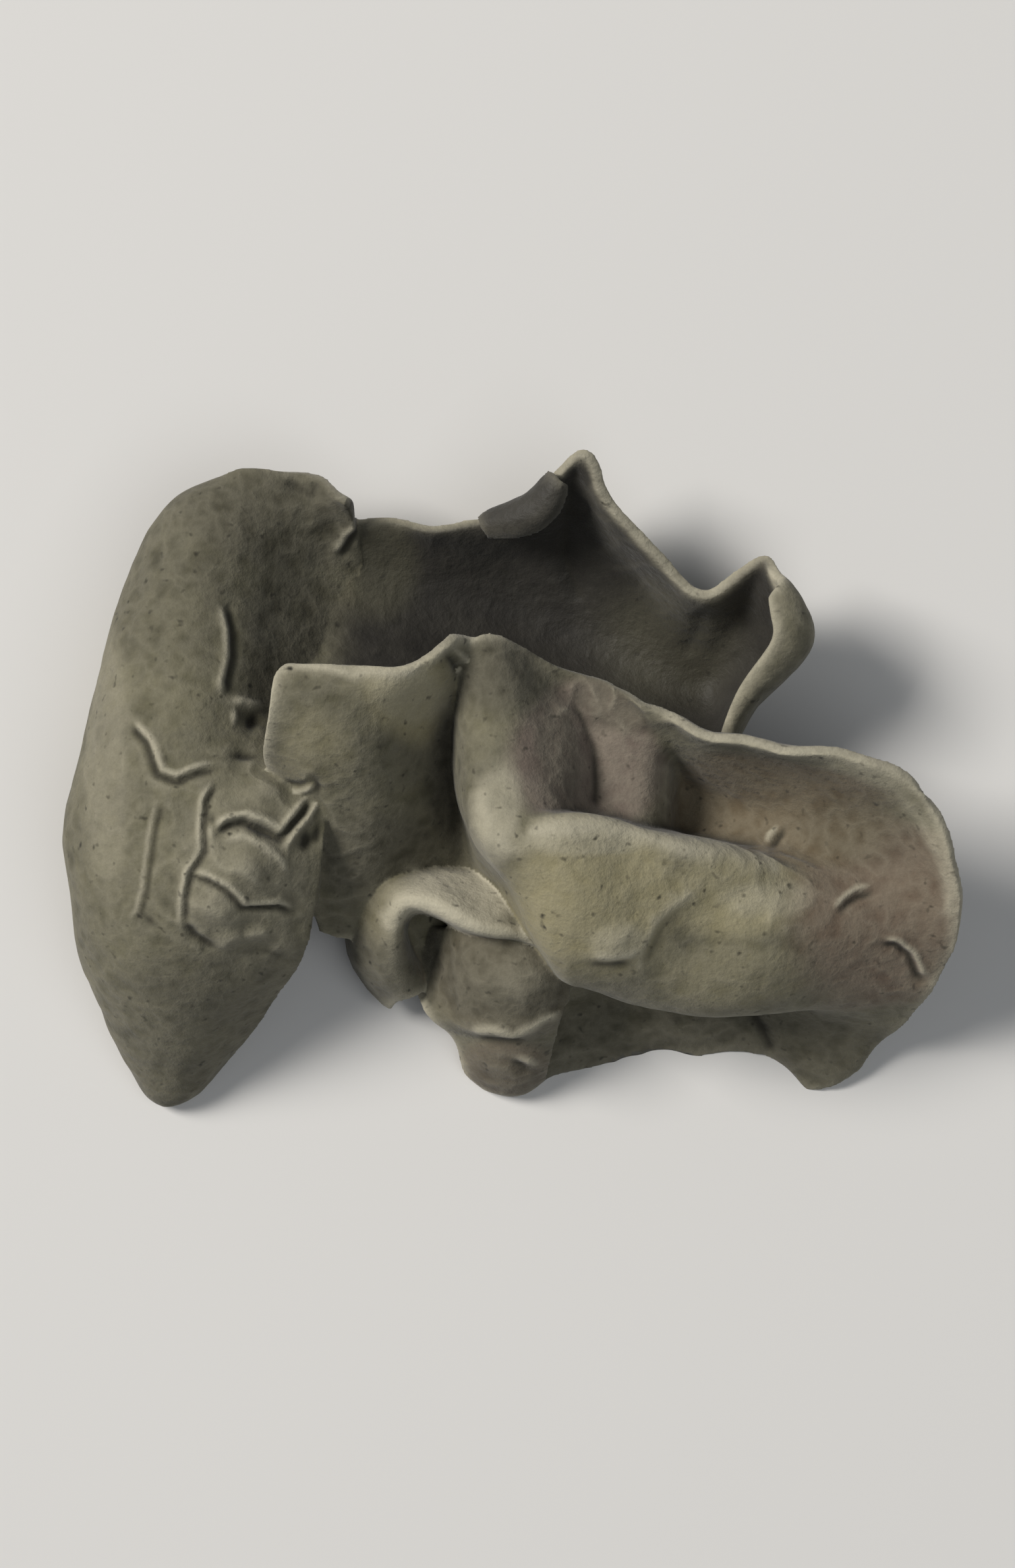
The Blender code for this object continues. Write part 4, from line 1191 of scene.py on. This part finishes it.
@dataclass(frozen=True)
class DriedFlesh(Finish):
    """The mushroom's flesh: velvety tan outside, dark and smoother inside, pale at rims and folds, with
    painted shade in its valleys and hollows and painted light where light falls.

    Sizes are in mm. A share says how strongly its colour shows, and a lift is a height in the bump.
    """

    tan: Colour = (0.113, 0.104, 0.063)
    tan_low: Colour = (0.069, 0.064, 0.041)
    # painted shade colour for the dark zones
    dusk: Colour = (0.044, 0.040, 0.026)
    # olive tone lightened as painted light
    olive: Colour = (0.24, 0.212, 0.12)
    # brown tone darkened as painted shade
    brown: Colour = (0.105, 0.08, 0.047)
    # purple-grey tone lightened as painted light
    purple: Colour = (0.142, 0.113, 0.09)
    rosy: Colour = (0.112, 0.080, 0.056)
    # pale tone of veins and rims; it is also the painted light of the pale zones and partly a painted
    # highlight on crests
    pale: Colour = (0.40, 0.37, 0.28)
    # near black: painted shade in hollows and grooves, and the dark specks
    groove: Colour = (0.02, 0.018, 0.012)
    inner_dark: Colour = (0.017, 0.015, 0.012)
    inner_mid: Colour = (0.036, 0.033, 0.026)
    grain_dark: Colour = (0.8, 0.8, 0.8)
    grain_light: Colour = (1.2, 1.2, 1.2)

    mottle_size: float = 3.2
    spot_size: float = 0.9
    nap_size: float = 0.16
    vein_size: float = 1.5
    vein_sharpness: float = 2.2
    leather_size: float = 0.55
    speck_size: float = 0.5

    vein_share: float = 0.16
    # painted shade in hollows and grooves
    hollow_shade_share: float = 0.85
    # pale crests, partly painted highlight
    crest_light_share: float = 0.7
    rim_share: float = 0.75
    speck_share: float = 0.6

    leather_lift: float = 0.08
    vein_lift: float = 0.035
    nap_lift: float = 0.03
    roughness: float = 0.92
    inner_gloss: float = 0.3
    sheen: float = 0.1
    sheen_roughness: float = 0.5
    specular: float = 0.3

    def build(self) -> bpy.types.Material:
        """The material, ready for the piece."""
        material, tree, shader = self.start()
        looks, noises = self.looks(tree), self.patterns(tree)
        inner = looks[Channel.INNER]
        outside, inside = self.outer_side(tree, looks, noises), self.inner_side(tree, looks, noises)
        # painted light, painted shade, rims, crests and specks go on here
        flesh = self.dried(tree, looks, noises, self.blend(tree, inner, outside, inside))
        grain = self.blend(tree, noises.nap, self.grain_dark, self.grain_light)
        flesh = self.blend(tree, 1.0, flesh, grain, "MULTIPLY")
        rough = self.roughness - inner * self.inner_gloss + (noises.spots - 0.5) * 0.16
        wires = {"Base Color": flesh, "Roughness": rough, "Normal": self.bump(tree, noises)}
        for name, wire in wires.items():
            tree.links.new(wire.socket, shader.inputs[name])
        shader.inputs["Sheen Weight"].default_value = self.sheen
        shader.inputs["Sheen Roughness"].default_value = self.sheen_roughness
        shader.inputs["Specular IOR Level"].default_value = self.specular
        return material

    def patterns(self, tree: bpy.types.NodeTree) -> Patterns:
        """The shared patterns; veins are 1 - vein_sharpness |2 noise - 1|, so thin lines."""
        mottle = self.noise(tree, self.mottle_size, 4.0)
        field = self.noise(tree, self.vein_size, 2.0, offset=(7.0, 3.0, 1.0))
        return Patterns(
            mottle=mottle,
            spots=self.noise(tree, self.spot_size, 4.0, 0.65),
            nap=self.noise(tree, self.nap_size, 3.0, 0.7),
            veins=1 - (field * 2 - 1).size() * self.vein_sharpness,
            uneven=mottle * 0.7 + 0.65,
        )

    def outer_side(self, tree: bpy.types.NodeTree, looks: dict[Channel, Wire], noises: Patterns) -> Wire:
        """The colour of the velvety side: mottled tan with the tints over it, among them painted shade
        and painted light, and fine pale veins.
        """
        share = noises.mottle * 2.4 - 0.65 + (noises.spots - 0.5) * 1.5
        colour = self.blend(tree, share.clamp(), self.tan_low, self.tan)
        # olive tone with painted light
        colour = self.blend(tree, looks[Channel.OLIVE], colour, self.olive)
        colour = self.blend(tree, looks[Channel.ROSY], colour, self.rosy)
        # purple-grey tone with painted light
        colour = self.blend(tree, looks[Channel.PURPLE], colour, self.purple)
        # brown tone with painted shade
        colour = self.blend(tree, looks[Channel.BROWN], colour, self.brown)
        # painted shade over the dark zones
        colour = self.blend(tree, (looks[Channel.DUSK] * noises.uneven).clamp(), colour, self.dusk)
        return self.blend(tree, (noises.veins * self.vein_share).clamp(), colour, self.pale)

    def inner_side(self, tree: bpy.types.NodeTree, looks: dict[Channel, Wire], noises: Patterns) -> Wire:
        """The colour of the inner side: near black, and lighter as painted light in the olive zones."""
        share = noises.mottle * 2 - 0.5 + (noises.spots - 0.5)
        colour = self.blend(tree, share.clamp(), self.inner_dark, self.inner_mid)
        # painted light on the inner side where the olive zones are
        return self.blend(tree, (looks[Channel.OLIVE] * noises.uneven).clamp(), colour, self.tan_low)

    def dried(self, tree: bpy.types.NodeTree, looks: dict[Channel, Wire], noises: Patterns,
              colour: Wire) -> Wire:
        """The colour with painted light in the pale zones, painted shade in hollows and grooves, pale
        crests that are partly painted highlight, pale rims and dark specks.
        """
        # painted light over the pale zones
        colour = self.blend(tree, (looks[Channel.PALE] * noises.uneven).clamp(), colour, self.pale)
        # painted shade in hollows and grooves
        hollow_shade = looks[Channel.HOLLOW] * self.hollow_shade_share
        colour = self.blend(tree, hollow_shade.clamp(), colour, self.groove)
        # pale crests, partly painted highlight
        crest_light = looks[Channel.CREST] * (1 - looks[Channel.INNER] * 0.6) * self.crest_light_share
        colour = self.blend(tree, crest_light.clamp(), colour, self.pale)
        rim = looks[Channel.RIM] * self.rim_share * (noises.spots + 0.35)
        colour = self.blend(tree, rim.clamp(), colour, self.pale)
        specks = self.noise(tree, self.speck_size, 1.0, 0.5, offset=(3.0, 9.0, 2.0)) * 9 - 6.0
        return self.blend(tree, (specks * self.speck_share).clamp(), colour, self.groove)

    def bump(self, tree: bpy.types.NodeTree, noises: Patterns) -> Wire:
        """The fine bump: leathery pits, veins and nap, added up."""
        leather = self.noise(tree, self.leather_size, 3.0, 0.6)
        height = leather * self.leather_lift + noises.veins.clamp() * self.vein_lift
        height = height + noises.nap * self.nap_lift
        return add_node(tree, "ShaderNodeBump", {}, {"Height": height, "Distance": MM, "Strength": 1.0})


@dataclass(frozen=True)
class Paper(Finish):
    """The pale, plain floor."""

    tone: Colour = (0.62, 0.61, 0.59)
    roughness: float = 0.9

    def build(self) -> bpy.types.Material:
        """The material, ready for the floor."""
        material, _, shader = self.start()
        shader.inputs["Base Color"].default_value = (*self.tone, 1.0)
        shader.inputs["Roughness"].default_value = self.roughness
        return material


# -------------------------------------------------------------------------------------------- studio


@dataclass(frozen=True)
class Softbox:
    """A square area light: where it is and how wide, in metres, and its power in watts."""

    name: str
    place: Point
    side: float
    power: float
    colour: Colour = (1.0, 1.0, 1.0)

    def build(self) -> bpy.types.Object:
        """The light, turned to look at the origin."""
        data = bpy.data.lights.new(self.name, "AREA")
        data.size = self.side
        data.energy = self.power
        data.color = self.colour
        lamp = link(bpy.data.objects.new(self.name, data))
        lamp.location = self.place
        x, y, z = self.place
        lamp.rotation_euler = (math.atan2(math.hypot(x, y), z), 0.0, math.atan2(x, -y))
        return lamp


@dataclass(frozen=True)
class Studio:
    """A pale floor, soft light and a camera that looks straight down.

    The object's width takes `camera_fill` of the picture's width.
    """

    floor_side: float = 1.6
    lamps: tuple[Softbox, ...] = (
        Softbox("key", (-0.65, 0.30, 0.73), 0.36, 11.6, (1.0, 0.97, 0.93)),
        Softbox("fill", (0.28, -0.19, 0.92), 0.70, 2.3, (0.94, 0.97, 1.0)),
    )
    camera_fill: float = 0.885
    lens: float = 150.0
    sensor: float = 36.0
    world: Colour = (0.86, 0.92, 1.0)
    world_strength: float = 0.14

    def build(self) -> None:
        """Makes the floor, the lights, the world and the camera."""
        self.lay_floor()
        for lamp in self.lamps:
            lamp.build()
        self.light_world()
        self.aim_camera()

    def lay_floor(self) -> None:
        """The floor, a plain square at z = 0."""
        half = self.floor_side / 2
        mesh = bpy.data.meshes.new("floor")
        mesh.from_pydata([(-half, -half, 0), (half, -half, 0), (half, half, 0), (-half, half, 0)], [],
                         [(0, 1, 2, 3)])
        floor = link(bpy.data.objects.new("floor", mesh))
        floor.data.materials.append(Paper("floor_paper").build())
        floor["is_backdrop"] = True

    def light_world(self) -> None:
        """Even light from all round."""
        world = bpy.data.worlds.new("studio")
        bpy.context.scene.world = world
        world.use_nodes = True
        background = world.node_tree.nodes["Background"]
        background.inputs["Color"].default_value = (*self.world, 1.0)
        background.inputs["Strength"].default_value = self.world_strength
        bpy.context.scene.view_settings.view_transform = "Standard"

    def aim_camera(self) -> None:
        """The camera over the middle of the object, so far up that the object fills the width."""
        low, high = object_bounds()
        data = bpy.data.cameras.new("camera")
        data.sensor_fit = "HORIZONTAL"
        data.sensor_width = self.sensor
        data.lens = self.lens
        data.clip_start = 0.005
        data.clip_end = 10.0
        camera = link(bpy.data.objects.new("camera", data))
        width = (high[0] - low[0]) / self.camera_fill
        distance = width * self.lens / self.sensor
        camera.location = ((low[0] + high[0]) / 2, (low[1] + high[1]) / 2, high[2] / 2 + distance)
        bpy.context.scene.camera = camera


# ---------------------------------------------------------------------------------------------- main


def main() -> None:
    """Builds the mushroom and its studio."""
    logging.basicConfig(level=logging.INFO, format="%(message)s")
    body = FruitBody().build()
    body.data.materials.append(DriedFlesh("dried_flesh").build())
    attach(body, BODY)
    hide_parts(NODE)
    LOG.info("fruit_body: %d points, %d faces", len(body.data.vertices), len(body.data.polygons))
    studio = Studio()
    studio.build()
    LOG.info("studio: a floor, %d lamps and the camera", len(studio.lamps))


if __name__ == "__main__":
    main()
